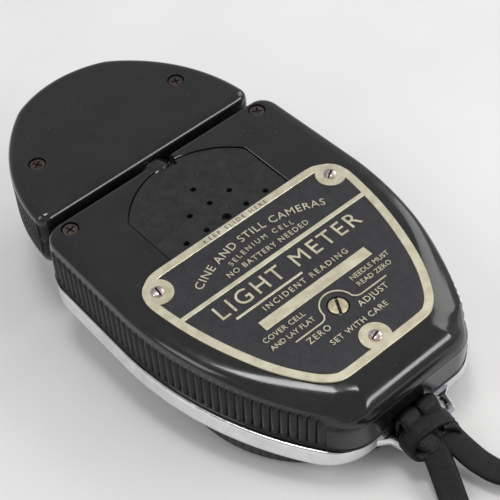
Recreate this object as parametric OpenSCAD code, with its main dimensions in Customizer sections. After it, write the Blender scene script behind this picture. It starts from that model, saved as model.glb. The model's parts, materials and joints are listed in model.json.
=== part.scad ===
// Selenium light meter with a swivelling light head, lying face down with its wrist lace.
// Millimetres. +Y runs from the lace end to the light head, +Z points up off the table.
// The meter itself is drawn square to its own back (x across, y along, z = 0 at the front
// edge of the chrome rim) and on_table() then leans it on its dome and its dial ring.

/* [Case] */
// Thickness of the case, front rim to back face
case_t = 17.5; // [16:0.5:19]
// Half width of the back at its widest
back_half_w = 32.7; // [31:0.1:34]
// Extra half width of the chrome rim over the back
rim_flare = 3.7; // [3:0.1:4.5]
// Y of the case's end at the lace
case_end_y = -58.8; // [-60:0.2:-58]
// Y of the case's end at the light head
case_top_y = 24.7; // [24:0.1:25.5]
// Wall thickness of the moulded case
wall = 2; // [1.6:0.1:2.4]
// Level where the moulded case meets the chrome front
split_z = 4.5; // [4:0.1:5]
// Thickness of the chrome front plate
front_t = 1.4; // [1.2:0.1:1.6]

/* [Light head] */
// Y where the head starts, leaving a gap to the case
head_y0 = 27.4; // [27:0.1:28.5]
// Y of the head's far end
head_y1 = 64.3; // [63:0.1:66]
// Level of the head's back face
head_back_z = 17; // [16.5:0.1:17.5]
// Level of the head's front face
head_front_z = 1.5; // [1:0.1:2.5]
// Y of the dome's centre
dome_y = 45.5; // [45:0.5:47]
// Radius of the white diffusing dome
dome_r = 15; // [14:0.5:15.5]
// Level of the swivel's axis
swivel_z = 9.5; // [9:0.1:10]
// Radius of the collar around the swivel
collar_r = 5.5; // [5:0.1:6]

/* [Dial] */
// Y of the dial's centre, which is also the meter movement's axis
dial_y = -26.5; // [-27.5:0.1:-25.5]
// Radius of the knurled dial ring
ring_r = 31.3; // [30:0.1:32]
// How far the dial ring stands out of the front
ring_h = 5; // [4.5:0.1:5.5]
// Angle that the needle swings through
needle_sweep = 44; // [30:1:50]

/* [Back] */
// Thickness of the nameplate
plate_t = 0.5; // [0.4:0.1:0.8]
// Y of the zero adjusting screw
zero_y = -35.9; // [-37:0.1:-35]
// Spacing of the holes in the perforated slide
hole_pitch = 5.84; // [5.5:0.01:6]

/* [Lace] */
// Width of the flat lace
lace_w = 6; // [5:0.5:7]
// Thickness of the flat lace
lace_t = 1.6; // [1.2:0.2:2]

/* [Hidden] */
$fn = 64;

slice = 0.02;      // thickness of the slices that the hulls are drawn between
eps = 0.1;         // how far a cutter runs past a face
back_z = case_t;

// the meter leans on the far edge of its dial ring and on its dome
foot_y = dial_y - ring_r;
dome_z = 0.5;      // level of the dome's centre
lean = asin(dome_r / norm([dome_y - foot_y, dome_z + ring_h])) - atan2(dome_z + ring_h, dome_y - foot_y);
lift = -foot_y * sin(lean) + ring_h * cos(lean);
mid_y = -1.445;         // Y of the middle of its length

module on_table() { translate([0, -mid_y, lift]) rotate([lean, 0, 0]) children(); }

// The lace lies on the table, in the part's own frame. Each strand leaves the knot at the lug,
// drops to the table and runs into its own flat coil; strand B's coil lies on strand A's.
strand_a_route = [[-1, -68, 6.5], [-3, -71, 4.6], [-5, -74, 2.8], [-8, -78, 1.2], [-13, -83, 0.8],
    [-20, -89, 0.8], [-27, -96, 0.8], [-32, -104, 0.8], [-36, -113, 0.8], [-37, -123, 0.8]];
strand_b_route = [[1, -68, 6.5], [2, -72, 4.8], [3.5, -76, 3.2], [6, -80, 2.5], [11, -84, 2.5],
    [18, -89, 2.5], [25, -95, 2.5], [31, -103, 2.5], [36, -113, 2.5], [37, -123, 2.5]];
coil_c = [0, -123];     // middle of both coils
coil_r0 = 37;           // radius of the outermost turn, at the lace's middle
coil_r1 = 25.8;         // radius of the innermost turn
layer_b_z = 1.7;        // underside of strand B's coil
end_knot_r = 3.2;
end_knot_at_r = 18;     // distance of the end knots from the coils' middle
end_knot_a_angle = 48;
end_knot_b_angle = 132;

// ---- outlines ----
function arc(c, r, a0, a1, n) =
    [for (i = [0:n]) let (a = a0 + (a1 - a0) * i / n) [c[0] + r * cos(a), c[1] + r * sin(a)]];
function both_sides(half) = concat(half, [for (i = [len(half) - 1:-1:0]) [-half[i][0], half[i][1]]]);

// The case's outline. flare runs from 0 at the back to 1 at the chrome rim, inset shrinks it,
// and end_y is where it stops at the lace.
side_r = 85.6;
function case_outline(flare, inset, end_y) =
    let (r = side_r - 3.1 * flare - inset)
    let (cx = back_half_w - side_r + (rim_flare + 3.1) * flare)
    let (cy = -5 - 3 * flare)
    let (end_r = max(1, 3 + 3 * flare - inset))
    let (fy = end_y + inset + end_r)
    let (fx = cx + sqrt(pow(r - end_r, 2) - pow(fy - cy, 2)))
    let (a = atan2(fy - cy, fx - cx))
    let (top_x = back_half_w - 0.7 + rim_flare * flare - inset)
    let (top_r = max(0.8, 3 - inset))
    both_sides(concat(
        arc([fx, fy], end_r, -90, a, 5),
        arc([cx, cy], r, a, 0, 14),
        arc([top_x - top_r, case_top_y - inset - top_r], top_r, 0, 90, 5)));

module case_slice(z, flare, inset, end_y = case_end_y) {
    translate([0, 0, z]) linear_extrude(slice) polygon(case_outline(flare, inset, end_y));
}

// The head's outline: two long side arcs closed by a flatter arc at the far end.
head_side_r = 42.5;
head_side_c = [-12.06, 27.1];
head_end_r = 30;
function head_outline(inset) =
    let (c2 = [0, head_y1 - head_end_r])
    let (low_r = max(0.6, 2 - inset))
    let (y_low = head_y0 + inset + low_r)
    let (a0 = asin((y_low - head_side_c[1]) / (head_side_r - inset)))
    let (x_low = head_side_c[0] + (head_side_r - inset) * cos(a0))
    both_sides(concat(
        arc([x_low - low_r, y_low], low_r, -90, 0, 4),
        arc(head_side_c, head_side_r - inset, a0 + 1, 53, 12),
        arc(c2, head_end_r - inset, 64, 88, 5)));

module head_slice(z, inset) {
    translate([0, 0, z]) linear_extrude(slice) polygon(head_outline(inset));
}

// The perforated slide's outline, grown by g
slide_half_w = 17.3;
slide_low_y = -14;
slide_arc_r = 21.5;
slide_arc_y = 0.7;
module slide_outline(g = 0) {
    intersection() {
        translate([0, slide_arc_y]) circle(slide_arc_r + g, $fn = 96);
        translate([-slide_half_w - g, slide_low_y - g]) square([2 * (slide_half_w + g), 50]);
    }
}

// The nameplate's shield outline
function plate_half() = [
    [12, -50.6], [14, -49.8], [16.4, -47.8], [18.9, -44.4], [21.1, -40.6], [23.2, -35.9], [25.7, -28.6],
    [27.6, -21.3], [28.7, -15], [29.3, -9.3], [28.9, -6.6], [27.8, -4.6], [25.6, -2.9], [22.8, -1.9]
];

module screw_slot(r, z) { translate([-r, -0.25, z - 0.35]) cube([2 * r, 0.5, 0.35 + eps]); }
module phillips(r, z) {
    screw_slot(r * 0.62, z);
    rotate([0, 0, 90]) screw_slot(r * 0.62, z);
}

// ---- case ----
plate_screws = [[-25.4, -7], [25.4, -7], [0, -47]];
corner_screws = [[-27.9, 21.1], [27.9, 21.1]];
corner_head_r = 1.9;
corner_head_z = back_z - 0.3;
shank_r = 1;
pocket_deep_z = back_z - 2.6;
pocket_z = back_z - 1.25;
zero_head_r = 2.2;
zero_shank_r = 1.5;
fit = 0.05;        // radial clearance of a shaft in its own bore

module rear_case_shell() {
    difference() {
        hull() {
            case_slice(back_z - slice, 0, 2, -55.6);
            case_slice(back_z - 0.35, 0, 0.9, -57.2);
            case_slice(back_z - 1.3, 0, 0.15, -58.3);
            case_slice(back_z - 3, 0.16, 0, -58.8);
            case_slice(split_z, 0.55, 0);
        }
        hull() {
            case_slice(back_z - wall - slice, 0, wall + 1.2, -56.2);
            case_slice(split_z - eps, 0.5, wall);
        }
    }
}

module rear_case() {
    color("#1c1a19") difference() {
        union() {
            rear_case_shell();
            // thick floor under the slide's pocket
            translate([-19.5, -16.5, back_z - 4.3]) cube([39, 34.5, 2.4]);
            for (p = corner_screws) translate([p[0] - 0.6 * sign(p[0]), p[1] - 0.6, split_z])
                cylinder(r = 3, h = back_z - wall - split_z + eps);
            for (p = plate_screws) translate([p[0], p[1], back_z - 5]) cylinder(r = 2.2, h = 5 - wall + eps);
            translate([0, zero_y, back_z - wall - 0.5]) cylinder(r = 3.2, h = wall);
        }
        // pocket of the perforated slide, deeper where its low end dips
        translate([0, 0, pocket_z]) linear_extrude(5) slide_outline(0.3);
        translate([-slide_half_w - 0.3, slide_low_y - 0.3, pocket_deep_z])
            cube([2 * slide_half_w + 0.6, 13, 5]);
        // notch over the swivel collar
        translate([-4.4, 22, 14.4]) cube([8.8, 5, 5]);
        translate([0, 18, swivel_z]) rotate([-90, 0, 0]) cylinder(r = collar_r, h = 10);
        for (p = corner_screws) translate([p[0], p[1], 0]) {
            cylinder(r = shank_r, h = 30);
            translate([0, 0, corner_head_z - 1.2]) cylinder(r = corner_head_r + 0.2, h = 5);
        }
        for (p = plate_screws) translate([p[0], p[1], back_z - 4]) cylinder(r = 0.8, h = 6);
        translate([0, zero_y, 0]) {
            cylinder(r = zero_shank_r + fit, h = 30);
            translate([0, 0, back_z - 1.5]) cylinder(r = zero_head_r + 0.3, h = 5);
        }
    }
}

window_a = 27;     // half angle of the scale window
window_r0 = 33;
window_r1 = 47.5;
module sector(r0, r1, a, steps = 16) {
    translate([0, dial_y]) polygon(concat(
        arc([0, 0], r0, 90 - a, 90 + a, steps), arc([0, 0], r1, 90 + a, 90 - a, steps)));
}

module front_bezel() {
    color("#c9c9cc") difference() {
        union() {
            difference() {
                hull() {
                    case_slice(split_z - 0.3 - slice, 0.72, 0);
                    case_slice(split_z - 0.9, 0.9, 0);
                    case_slice(1.4, 1, 0);
                    case_slice(0.5, 1, 0.5);
                    case_slice(0, 1, 1.6);
                }
                hull() {
                    case_slice(split_z + slice, 0.5, wall);
                    case_slice(front_t, 0.7, wall);
                }
            }
            for (p = corner_screws) translate([p[0] - 0.6 * sign(p[0]), p[1] - 0.6, front_t - 0.2])
                cylinder(r = 3, h = split_z - front_t + 0.2);
        }
        translate([0, 0, -eps]) linear_extrude(front_t + 2 * eps) sector(window_r0, window_r1, window_a);
        translate([0, dial_y, -1]) cylinder(r = 1.8, h = 4);
        for (p = corner_screws) translate([p[0], p[1], 1.2]) cylinder(r = 0.8, h = 10);
        translate([0, 20, swivel_z]) rotate([-90, 0, 0]) cylinder(r = collar_r, h = 10);
    }
}

lug_z = 0.8;
lug_t = 2.2;
lug_end_y = -66.6;
lug_slot_w = 14;
lug_slot_y0 = -64.8;
lug_slot_y1 = -61.6;
module strap_lug() {
    color("#c9c9cc") translate([0, 0, lug_z]) linear_extrude(lug_t) difference() {
        polygon(both_sides(concat(
            arc([8, lug_end_y + 1.6], 1.6, -90, -20, 4),
            [[14, case_end_y - 0.4]],
            [[14, case_end_y - 0.02]])));
        translate([-lug_slot_w / 2, lug_slot_y0]) square([lug_slot_w, lug_slot_y1 - lug_slot_y0]);
    }
}

module nameplate() {
    color("#b8a670") translate([0, 0, back_z]) difference() {
        linear_extrude(plate_t) polygon(both_sides(plate_half()));
        for (p = plate_screws) translate([p[0], p[1], -eps]) cylinder(r = 0.8, h = 1);
        translate([0, zero_y, -eps]) cylinder(r = zero_head_r + 0.3, h = 1);
    }
}

module nameplate_screws() {
    color("#c4a69a") for (p = plate_screws) translate([p[0], p[1], 0]) difference() {
        union() {
            translate([0, 0, back_z + plate_t]) cylinder(r1 = 1.5, r2 = 1.1, h = 0.5);
            translate([0, 0, back_z - 4]) cylinder(r = 0.8, h = 4 + plate_t);
        }
        screw_slot(1.6, back_z + plate_t + 0.5);
    }
}

module case_screws() {
    color("#3a3634") for (p = corner_screws) translate([p[0], p[1], 0]) difference() {
        union() {
            translate([0, 0, corner_head_z - 1.2]) cylinder(r = corner_head_r, h = 1.2);
            translate([0, 0, split_z]) cylinder(r = shank_r, h = corner_head_z - 1.2 - split_z);
            translate([0, 0, 1.2]) cylinder(r = 0.8, h = split_z - 1.2);
        }
        phillips(corner_head_r, corner_head_z);
    }
}

// ---- perforated slide, which rocks on the nameplate's edge ----
slide_t = 0.9;
slide_top_z = back_z - 0.3;
slide_rows = [[2, 0], [1, 1], [0, 2], [-1, 1], [-2, 0]];   // row number and holes each side of the middle
module perforated_slide() {
    color("#242120") difference() {
        translate([0, 0, slide_top_z - slide_t]) linear_extrude(slide_t) slide_outline();
        translate([-3, 20.6, slide_top_z - slide_t - eps]) cube([6, 5, 2]);
        for (row = slide_rows, i = [-row[1]:row[1]])
            translate([i * hole_pitch, row[0] * hole_pitch, slide_top_z - slide_t - eps])
                cylinder(r = (row[0] == 0 && i == 0) ? 1.1 : 0.7, h = 2, $fn = 24);
    }
}

// ---- zero adjustment ----
pin_offset = 0.9;
pin_r = 0.5;
lever_z = 13.8;
lever_t = 0.5;
module zero_adjust_screw() {
    color("#b09a68") translate([0, zero_y, 0]) difference() {
        union() {
            translate([0, 0, back_z - 1.2]) cylinder(r = zero_head_r, h = 1.6);
            translate([0, 0, back_z - 2.8]) cylinder(r = zero_shank_r, h = 1.6 + eps);
            translate([0, pin_offset, lever_z - 0.3]) cylinder(r = pin_r, h = 1.2);
        }
        screw_slot(zero_head_r + 0.1, back_z + 0.4);
    }
}

jewel_r = 1.2;
module zero_lever() {
    fork_y = zero_y - dial_y;
    color("#b98f4a") translate([0, dial_y, lever_z]) difference() {
        union() {
            cylinder(r = 3, h = lever_t);
            translate([-1.6, fork_y - 1.2, 0]) cube([3.2, -fork_y, lever_t]);
        }
        translate([0, 0, -eps]) cylinder(r = jewel_r + fit, h = 2);
        translate([-pin_r - 0.15, fork_y - 1.3, -eps]) cube([2 * pin_r + 0.3, 4, 2]);
    }
}

// ---- swivel ----
shaft_r = 2.6;
module along_y(y0, z = swivel_z) { translate([0, y0, z]) rotate([-90, 0, 0]) children(); }

module swivel_collar() {
    color("#100f0f") along_y(22.2) difference() {
        cylinder(r = collar_r, h = 7.2);
        translate([0, 0, -eps]) cylinder(r = shaft_r + fit, h = 10);
    }
}

module swivel_shaft() {
    color("#b98f4a") along_y(19.6) difference() {
        union() {
            cylinder(r = shaft_r, h = 14);
            translate([0, 0, 10.6]) cylinder(r = 4, h = 1.2);
        }
        translate([0, 0, -eps]) cylinder(r = 1.7, h = 20);
    }
}

module shaft_clip() {
    color("#8d8f93") along_y(20.8) difference() {
        cylinder(r = 3.4, h = 0.8);
        translate([0, 0, -eps]) cylinder(r = shaft_r, h = 2);
    }
}

// ---- light head ----
head_split_z = 9.2;
head_screw_at = [[-21, 43.5], [21, 43.5]];
head_screw_r = 1.9;
skirt_r = 16.4;
module head_bosses(z, h) { for (p = head_screw_at) translate([p[0], p[1], z]) cylinder(r = 2.6, h = h); }
module head_rings(z, r) { for (p = head_screw_at) translate([p[0], p[1], z]) cylinder(r = r, h = 30); }

module head_back_shell() {
    color("#1c1a19") difference() {
        union() {
            difference() {
                hull() {
                    head_slice(head_back_z - slice, 2.2);
                    head_slice(head_back_z - 0.4, 1);
                    head_slice(head_back_z - 1.5, 0.15);
                    head_slice(head_back_z - 2.5, 0);
                    head_slice(head_split_z, 0);
                }
                hull() {
                    head_slice(head_back_z - wall - slice, wall + 1);
                    head_slice(head_split_z - eps, wall);
                }
            }
            head_bosses(head_split_z, head_back_z - wall - head_split_z + eps);
            // socket wall that the shaft is fixed in
            translate([-6, head_y0 + 2.4, head_split_z]) cube([12, 3, head_back_z - wall - head_split_z + eps]);
        }
        head_rings(0, 1.1);
        head_rings(head_back_z - 1.3, head_screw_r + 0.2);
        along_y(20) cylinder(r = collar_r + 0.3, h = 9.8);
        along_y(20) cylinder(r = shaft_r, h = 20);
        along_y(29) cylinder(r = 4, h = 2.4);
    }
}

module head_front_shell() {
    color("#1c1a19") difference() {
        union() {
            difference() {
                hull() {
                    head_slice(head_front_z, 1.8);
                    head_slice(head_front_z + 0.6, 0.6);
                    head_slice(head_front_z + 1.8, 0);
                    head_slice(head_split_z - slice, 0);
                }
                hull() {
                    head_slice(head_split_z + slice, wall);
                    head_slice(head_front_z + wall, wall + 1);
                }
            }
            head_bosses(head_front_z + 1, head_split_z - head_front_z - 1);
            translate([-6, head_y0 + 2.4, head_front_z + 1]) cube([12, 1.4, head_split_z - head_front_z - 1]);
        }
        translate([0, dome_y, -1]) cylinder(r = skirt_r + fit, h = 5, $fn = 96);
        head_rings(head_front_z + 1.2, 0.8);
        along_y(20) cylinder(r = collar_r + 0.3, h = 9.8);
        along_y(20) cylinder(r = shaft_r, h = 20);
        along_y(29) cylinder(r = 4, h = 2.4);
    }
}

module head_screws() {
    color("#3a3634") for (p = head_screw_at) translate([p[0], p[1], 0]) difference() {
        union() {
            translate([0, 0, head_back_z - 1.3]) cylinder(r = head_screw_r, h = 1);
            translate([0, 0, head_split_z]) cylinder(r = 1.1, h = head_back_z - 1.3 - head_split_z);
            translate([0, 0, head_front_z + 1.2]) cylinder(r = 0.8, h = head_split_z - head_front_z - 1.2);
        }
        phillips(head_screw_r, head_back_z - 0.3);
    }
}

module at_dome(z) { translate([0, dome_y, z]) children(); }

cell_r = 14.2;
cell_z = 4.4;
cell_t = 1;
module selenium_cell() { color("#4a5a68") at_dome(cell_z) cylinder(r = cell_r, h = cell_t); }

module cell_contact_ring() {
    color("#b98f4a") at_dome(cell_z - 0.4) difference() {
        cylinder(r = cell_r, h = 0.4);
        translate([0, 0, -eps]) cylinder(r = cell_r - 1.6, h = 1);
    }
}

// The board behind the cell has an ear each side, forked round the head's screw bosses
backing_t = 1.4;
module cell_backing() {
    color("#7a4b2a") difference() {
        translate([0, 0, cell_z + cell_t]) union() {
            at_dome(0) cylinder(r = 14, h = backing_t);
            translate([-22.6, 40.5, 0]) cube([45.2, 6, backing_t]);
        }
        head_rings(0, 2.65);
    }
}

module head_leads() {
    down_z = cell_z + cell_t + backing_t;
    color("#8c2f25") {
        translate([-0.6, 35.3, swivel_z]) rotate([90, 0, 0]) cylinder(r = 0.5, h = 14, $fn = 16);
        translate([-0.6, 34.6, down_z]) cylinder(r = 0.4, h = swivel_z - down_z, $fn = 16);
    }
}

module diffuser_dome() {
    color("#f4f2ec") at_dome(dome_z) difference() {
        union() {
            sphere(r = dome_r, $fn = 96);
            cylinder(r = 15.7, h = 1);
        }
        sphere(r = dome_r - 1.4, $fn = 96);
        translate([-20, -20, 1]) cube(40);
    }
}

module dome_ring() {
    color("#c9c9cc") at_dome(0) difference() {
        union() {
            translate([0, 0, -1.3]) cylinder(r = 17.4, h = 2.4, $fn = 96);
            translate([0, 0, 1]) cylinder(r = skirt_r, h = 2.6, $fn = 96);
        }
        translate([0, 0, -2]) cylinder(r = dome_r + fit, h = 8, $fn = 96);
        translate([0, 0, dome_z]) cylinder(r = 15.7, h = 4, $fn = 96);
    }
}

// ---- meter movement ----
mag_z = 5.4;
mag_h = 6;
module at_axis(z) { translate([0, dial_y, z]) children(); }

module magnet() {
    color("#6f7378") at_axis(mag_z) difference() {
        cylinder(r = 14, h = mag_h);
        translate([0, 0, -eps]) cylinder(r = 9.6, h = 10);
    }
}

module pole_shoes() {
    color("#8d8f93") at_axis(mag_z) difference() {
        cylinder(r = 9.55, h = mag_h);
        translate([0, 0, -eps]) cylinder(r = 6.4, h = 10);
        for (s = [-1, 1]) translate([-4, s > 0 ? 0 : -12, -eps]) cube([8, 12, 10]);
    }
}

bar_half = 1.5;
module core() {
    color("#8d8f93") at_axis(mag_z) difference() {
        cylinder(r = 4.5, h = mag_h);
        translate([-bar_half, -6, 2]) cube([2 * bar_half, 12, 2]);
    }
}

module core_bracket() {
    color("#b98f4a") at_axis(mag_z + 2) translate([-bar_half, -9.4, 0]) cube([2 * bar_half, 18.8, 2]);
}

coil_z = 4.6;
coil_h = 7.6;
at_zero = -needle_sweep / 2;      // where the needle rests, measured from +Y
module moving_coil() {
    color("#a8552a") at_axis(coil_z) rotate([0, 0, at_zero]) difference() {
        translate([-5.7, -1.8, 0]) cube([11.4, 3.6, coil_h]);
        translate([-4.95, -3, 0.4]) cube([9.9, 6, coil_h - 0.8]);
    }
}

staff_r = 0.35;
module pivot_staffs() {
    color("#d8d8d8") {
        at_axis(2.1) cylinder(r = staff_r, h = coil_z - 2.1, $fn = 24);
        at_axis(coil_z + coil_h) cylinder(r = staff_r, h = 0.8, $fn = 24);
    }
}

needle_len = 43.5;
module needle() {
    color("#a01818") at_axis(2.9) rotate([0, 0, at_zero]) difference() {
        union() {
            cylinder(r = 1.2, h = 0.35);
            linear_extrude(0.3) polygon([[-0.5, 0], [0.5, 0], [0.15, needle_len], [-0.15, needle_len]]);
            translate([-0.4, -6, 0]) cube([0.8, 6, 0.3]);
            translate([-1, -6.5, 0]) cube([2, 1.5, 0.35]);
        }
        translate([0, 0, -eps]) cylinder(r = staff_r, h = 2, $fn = 24);
    }
}

function spiral(r0, r1, turns, n) =
    [for (i = [0:n]) let (k = i / n) [(r0 + (r1 - r0) * k) * cos(360 * turns * k),
                                      (r0 + (r1 - r0) * k) * sin(360 * turns * k)]];
function backwards(p) = [for (i = [len(p) - 1:-1:0]) p[i]];
module hairsprings() {
    color("#b98f4a") for (z = [3.8, 12.3]) at_axis(z) linear_extrude(0.25)
        polygon(concat(spiral(0.8, 3.2, 3, 60), backwards(spiral(0.95, 3.35, 3, 60))));
}

module bridge_bar(z, h) {
    at_axis(z) translate([-13.4, -2.4, 0]) cube([26.8, 4.8, h]);
}
module jewel_holes() { at_axis(0) cylinder(r = jewel_r, h = 30); }

module front_bridge() {
    color("#b98f4a") difference() {
        union() {
            bridge_bar(1.6, 0.8);
            for (s = [-1, 1]) translate([s * 11.8, dial_y, 1.6]) cylinder(r = 1.5, h = mag_z - 1.6);
        }
        jewel_holes();
    }
}

module rear_bridge() {
    color("#b98f4a") difference() {
        union() {
            bridge_bar(12.7, 0.8);
            for (s = [-1, 1]) translate([s * 11.8, dial_y, mag_z + mag_h])
                cylinder(r = 1.5, h = 13.5 - mag_z - mag_h);
        }
        jewel_holes();
    }
}

module jewel_screws() {
    color("#d2b45a") difference() {
        union() {
            at_axis(1.5) cylinder(r = jewel_r, h = 1.1, $fn = 32);
            at_axis(12.6) cylinder(r = jewel_r, h = 2, $fn = 32);
        }
        at_axis(2) cylinder(r = staff_r + fit, h = 11.2, $fn = 24);
    }
}

module calibration_resistor() {
    color("#7a4b2a") translate([-9, 4, 9]) rotate([0, 90, 0]) {
        cylinder(r = 3, h = 1);
        cylinder(r = 2.2, h = 18);
        translate([0, 0, 17]) cylinder(r = 3, h = 1);
    }
}

// A straight wire from point a to point b
module wire(a, b, r) {
    d = b - a;
    translate(a) rotate([0, acos(d[2] / norm(d)), atan2(d[1], d[0])]) cylinder(r = r, h = norm(d), $fn = 16);
}

// Each lead runs from an end of the resistor, over the magnet, to the rear bridge
module case_leads() {
    color("#8c2f25") for (s = [-1, 1]) wire([s * 9.6, 5, 8.9], [s * 11.8, -23.95, 12.8], 0.5);
}

// ---- dial side ----
scale_screw_at = [[-9.15, -9.3], [9.15, -9.3]];
module scale_plate() {
    color("#efe9d6") translate([0, 0, 3.7]) difference() {
        linear_extrude(0.5) sector(17, 48.2, 32);
        for (p = scale_screw_at) translate([p[0], p[1], -eps]) cylinder(r = 0.8, h = 2);
    }
}

module scale_screws() {
    color("#c4a69a") for (p = scale_screw_at) translate([p[0], p[1], 0]) {
        translate([0, 0, 4.2]) cylinder(r = 1.2, h = 0.6);
        translate([0, 0, front_t]) cylinder(r = 0.8, h = 2.8);
    }
}

module crystal() {
    color([0.85, 0.92, 0.95, 0.4]) translate([0, 0, front_t]) linear_extrude(0.9) sector(31.5, 48.8, 29.5);
}

base_t = 0.8;
ring_low = -1.2;
module dial_base() {
    color("#1c1a19") at_axis(-base_t) difference() {
        cylinder(r = 30.6, h = base_t, $fn = 96);
        translate([0, 0, -eps]) cylinder(r = 1.8, h = 2);
    }
}

module dial_ring() {
    color("#161515") at_axis(-ring_h) difference() {
        cylinder(r = ring_r, h = ring_h + ring_low, $fn = 128);
        translate([0, 0, -eps]) cylinder(r = 24.1, h = 10, $fn = 96);
        translate([0, 0, ring_h - 2.6]) cylinder(r = 26.6, h = 10, $fn = 96);
    }
}

module exposure_disc() {
    color("#d8d2c0") difference() {
        union() {
            at_axis(-4.2) cylinder(r = 23.7, h = 2.9, $fn = 96);
            at_axis(-2.2) cylinder(r = 26.2, h = 0.9, $fn = 96);
        }
        at_axis(-6) cylinder(r = 1.8 + fit, h = 10);
    }
}

module dial_hub() {
    color("#c4a69a") difference() {
        union() {
            at_axis(-5) cylinder(r = 3.5, h = 0.5);
            at_axis(-5) cylinder(r = 1.8, h = 5 + front_t);
        }
        translate([0, dial_y, 0]) translate([-3.6, -0.3, -5.1]) cube([7.2, 0.6, 0.35]);
    }
}

module dial_washer() {
    color("#8d8f93") at_axis(-1.15) difference() {
        cylinder(r = 6, h = 0.35);
        translate([0, 0, -eps]) cylinder(r = 2.4, h = 1);
    }
}

// ---- lace ----
lace_half_section = [[-0.5, 0], [-0.42, -0.5], [0.42, -0.5], [0.5, 0], [0.42, 0.5], [-0.42, 0.5]];
function unit(v) = v / norm(v);
function heading(p, i) = unit(p[min(i + 1, len(p) - 1)] - p[max(i - 1, 0)]);
function lace_ring(p, i) =
    let (t = heading(p, i))
    let (side = unit([t[1], -t[0], 0]))
    let (up = cross(side, t))
    [for (q = lace_half_section) p[i] + side * q[0] * lace_w + up * q[1] * lace_t];

module lace_tube(route) {
    n = len(lace_half_section);
    last = len(route) - 1;
    polyhedron(
        points = [for (i = [0:last]) each lace_ring(route, i)],
        faces = concat(
            [[for (k = [0:n - 1]) k]],
            [[for (k = [n - 1:-1:0]) last * n + k]],
            [for (i = [0:last - 1], k = [0:n - 1]) let (k2 = (k + 1) % n)
                [i * n + k, (i + 1) * n + k, (i + 1) * n + k2]],
            [for (i = [0:last - 1], k = [0:n - 1]) let (k2 = (k + 1) % n)
                [i * n + k, (i + 1) * n + k2, i * n + k2]]));
}

module lace_strand_a() { color("#141414") lace_tube(strand_a_route); }
module lace_strand_b() { color("#141414") lace_tube(strand_b_route); }

module coil_washer(z) {
    translate([coil_c[0], coil_c[1], z]) rotate_extrude($fn = 96)
        translate([coil_r1 - lace_w / 2, 0]) square([coil_r0 - coil_r1 + lace_w, lace_t]);
}
module lace_coil_a() { color("#141414") coil_washer(0); }
module lace_coil_b() { color("#141414") coil_washer(layer_b_z); }

module end_knot(a) {
    translate([coil_c[0] + end_knot_at_r * cos(a), coil_c[1] + end_knot_at_r * sin(a), end_knot_r])
        sphere(r = end_knot_r, $fn = 32);
}
module lace_end_knot_a() { color("#141414") end_knot(end_knot_a_angle); }
module lace_end_knot_b() { color("#141414") end_knot(end_knot_b_angle); }

// The lace passes through the lug's slot and round its bar, and is knotted above it
module lug_wrap() {
    color("#141414") on_table() difference() {
        translate([-6, lug_end_y - 1.5, lug_z - 1.2])
            cube([12, lug_slot_y1 - lug_end_y + 1.3, lug_t + 2.8]);
        translate([-20, lug_end_y - 0.05, lug_z - 0.05])
            cube([40, lug_slot_y0 - lug_end_y + 0.1, lug_t + 0.1]);
    }
}
module lug_knot() { color("#141414") translate([0, -65.5, 12.4]) sphere(r = 5, $fn = 32); }

on_table() rear_case();
on_table() front_bezel();
on_table() strap_lug();
on_table() nameplate();
on_table() nameplate_screws();
on_table() case_screws();
on_table() perforated_slide();
on_table() zero_adjust_screw();
on_table() zero_lever();
on_table() swivel_collar();
on_table() swivel_shaft();
on_table() shaft_clip();
on_table() head_back_shell();
on_table() head_front_shell();
on_table() head_screws();
on_table() selenium_cell();
on_table() cell_contact_ring();
on_table() cell_backing();
on_table() head_leads();
on_table() diffuser_dome();
on_table() dome_ring();
on_table() magnet();
on_table() pole_shoes();
on_table() core();
on_table() core_bracket();
on_table() moving_coil();
on_table() pivot_staffs();
on_table() needle();
on_table() hairsprings();
on_table() front_bridge();
on_table() rear_bridge();
on_table() jewel_screws();
on_table() calibration_resistor();
on_table() case_leads();
on_table() scale_plate();
on_table() scale_screws();
on_table() crystal();
on_table() dial_base();
on_table() dial_ring();
on_table() exposure_disc();
on_table() dial_hub();
on_table() dial_washer();
lug_wrap();
lug_knot();
lace_strand_a();
lace_strand_b();
lace_coil_a();
lace_coil_b();
lace_end_knot_a();
lace_end_knot_b();
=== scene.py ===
"""Looks of a selenium light meter that lies face down with its wrist lace.

The pieces are modelled in the meter's own millimetres: x across, y along towards the light head,
z out of the back, with z = 0 at the front edge of the chrome rim. to_row() sets them in the frame.
The lace is modelled on the table, in the frame's own axes.
"""
import json
import math

import bmesh
import bpy
from mathutils import Matrix, Vector


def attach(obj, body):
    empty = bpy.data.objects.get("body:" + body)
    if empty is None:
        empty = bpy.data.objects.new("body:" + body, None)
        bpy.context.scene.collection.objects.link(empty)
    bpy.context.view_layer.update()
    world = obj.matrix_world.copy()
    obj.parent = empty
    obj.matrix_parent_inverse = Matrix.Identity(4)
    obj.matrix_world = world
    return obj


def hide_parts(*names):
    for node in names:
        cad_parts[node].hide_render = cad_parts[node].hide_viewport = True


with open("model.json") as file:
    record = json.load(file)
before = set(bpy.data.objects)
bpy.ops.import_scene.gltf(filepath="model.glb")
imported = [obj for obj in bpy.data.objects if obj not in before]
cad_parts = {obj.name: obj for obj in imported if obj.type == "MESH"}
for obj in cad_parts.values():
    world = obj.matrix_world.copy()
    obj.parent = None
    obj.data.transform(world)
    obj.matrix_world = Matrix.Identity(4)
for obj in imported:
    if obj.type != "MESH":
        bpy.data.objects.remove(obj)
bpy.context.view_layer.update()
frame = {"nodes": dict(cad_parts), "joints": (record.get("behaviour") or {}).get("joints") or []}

MM = 0.001
JOINTS = {joint["name"]: joint for joint in frame["joints"]}
ACROSS = Vector((1, 0, 0))
ALONG = Vector(JOINTS["head_swivel"]["axis"])
UP = Vector(JOINTS["dial_ring_turn"]["axis"])
DIAL_Y = -26.5
SWIVEL_Z = 9.5
DOME_Y = 45.5
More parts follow.
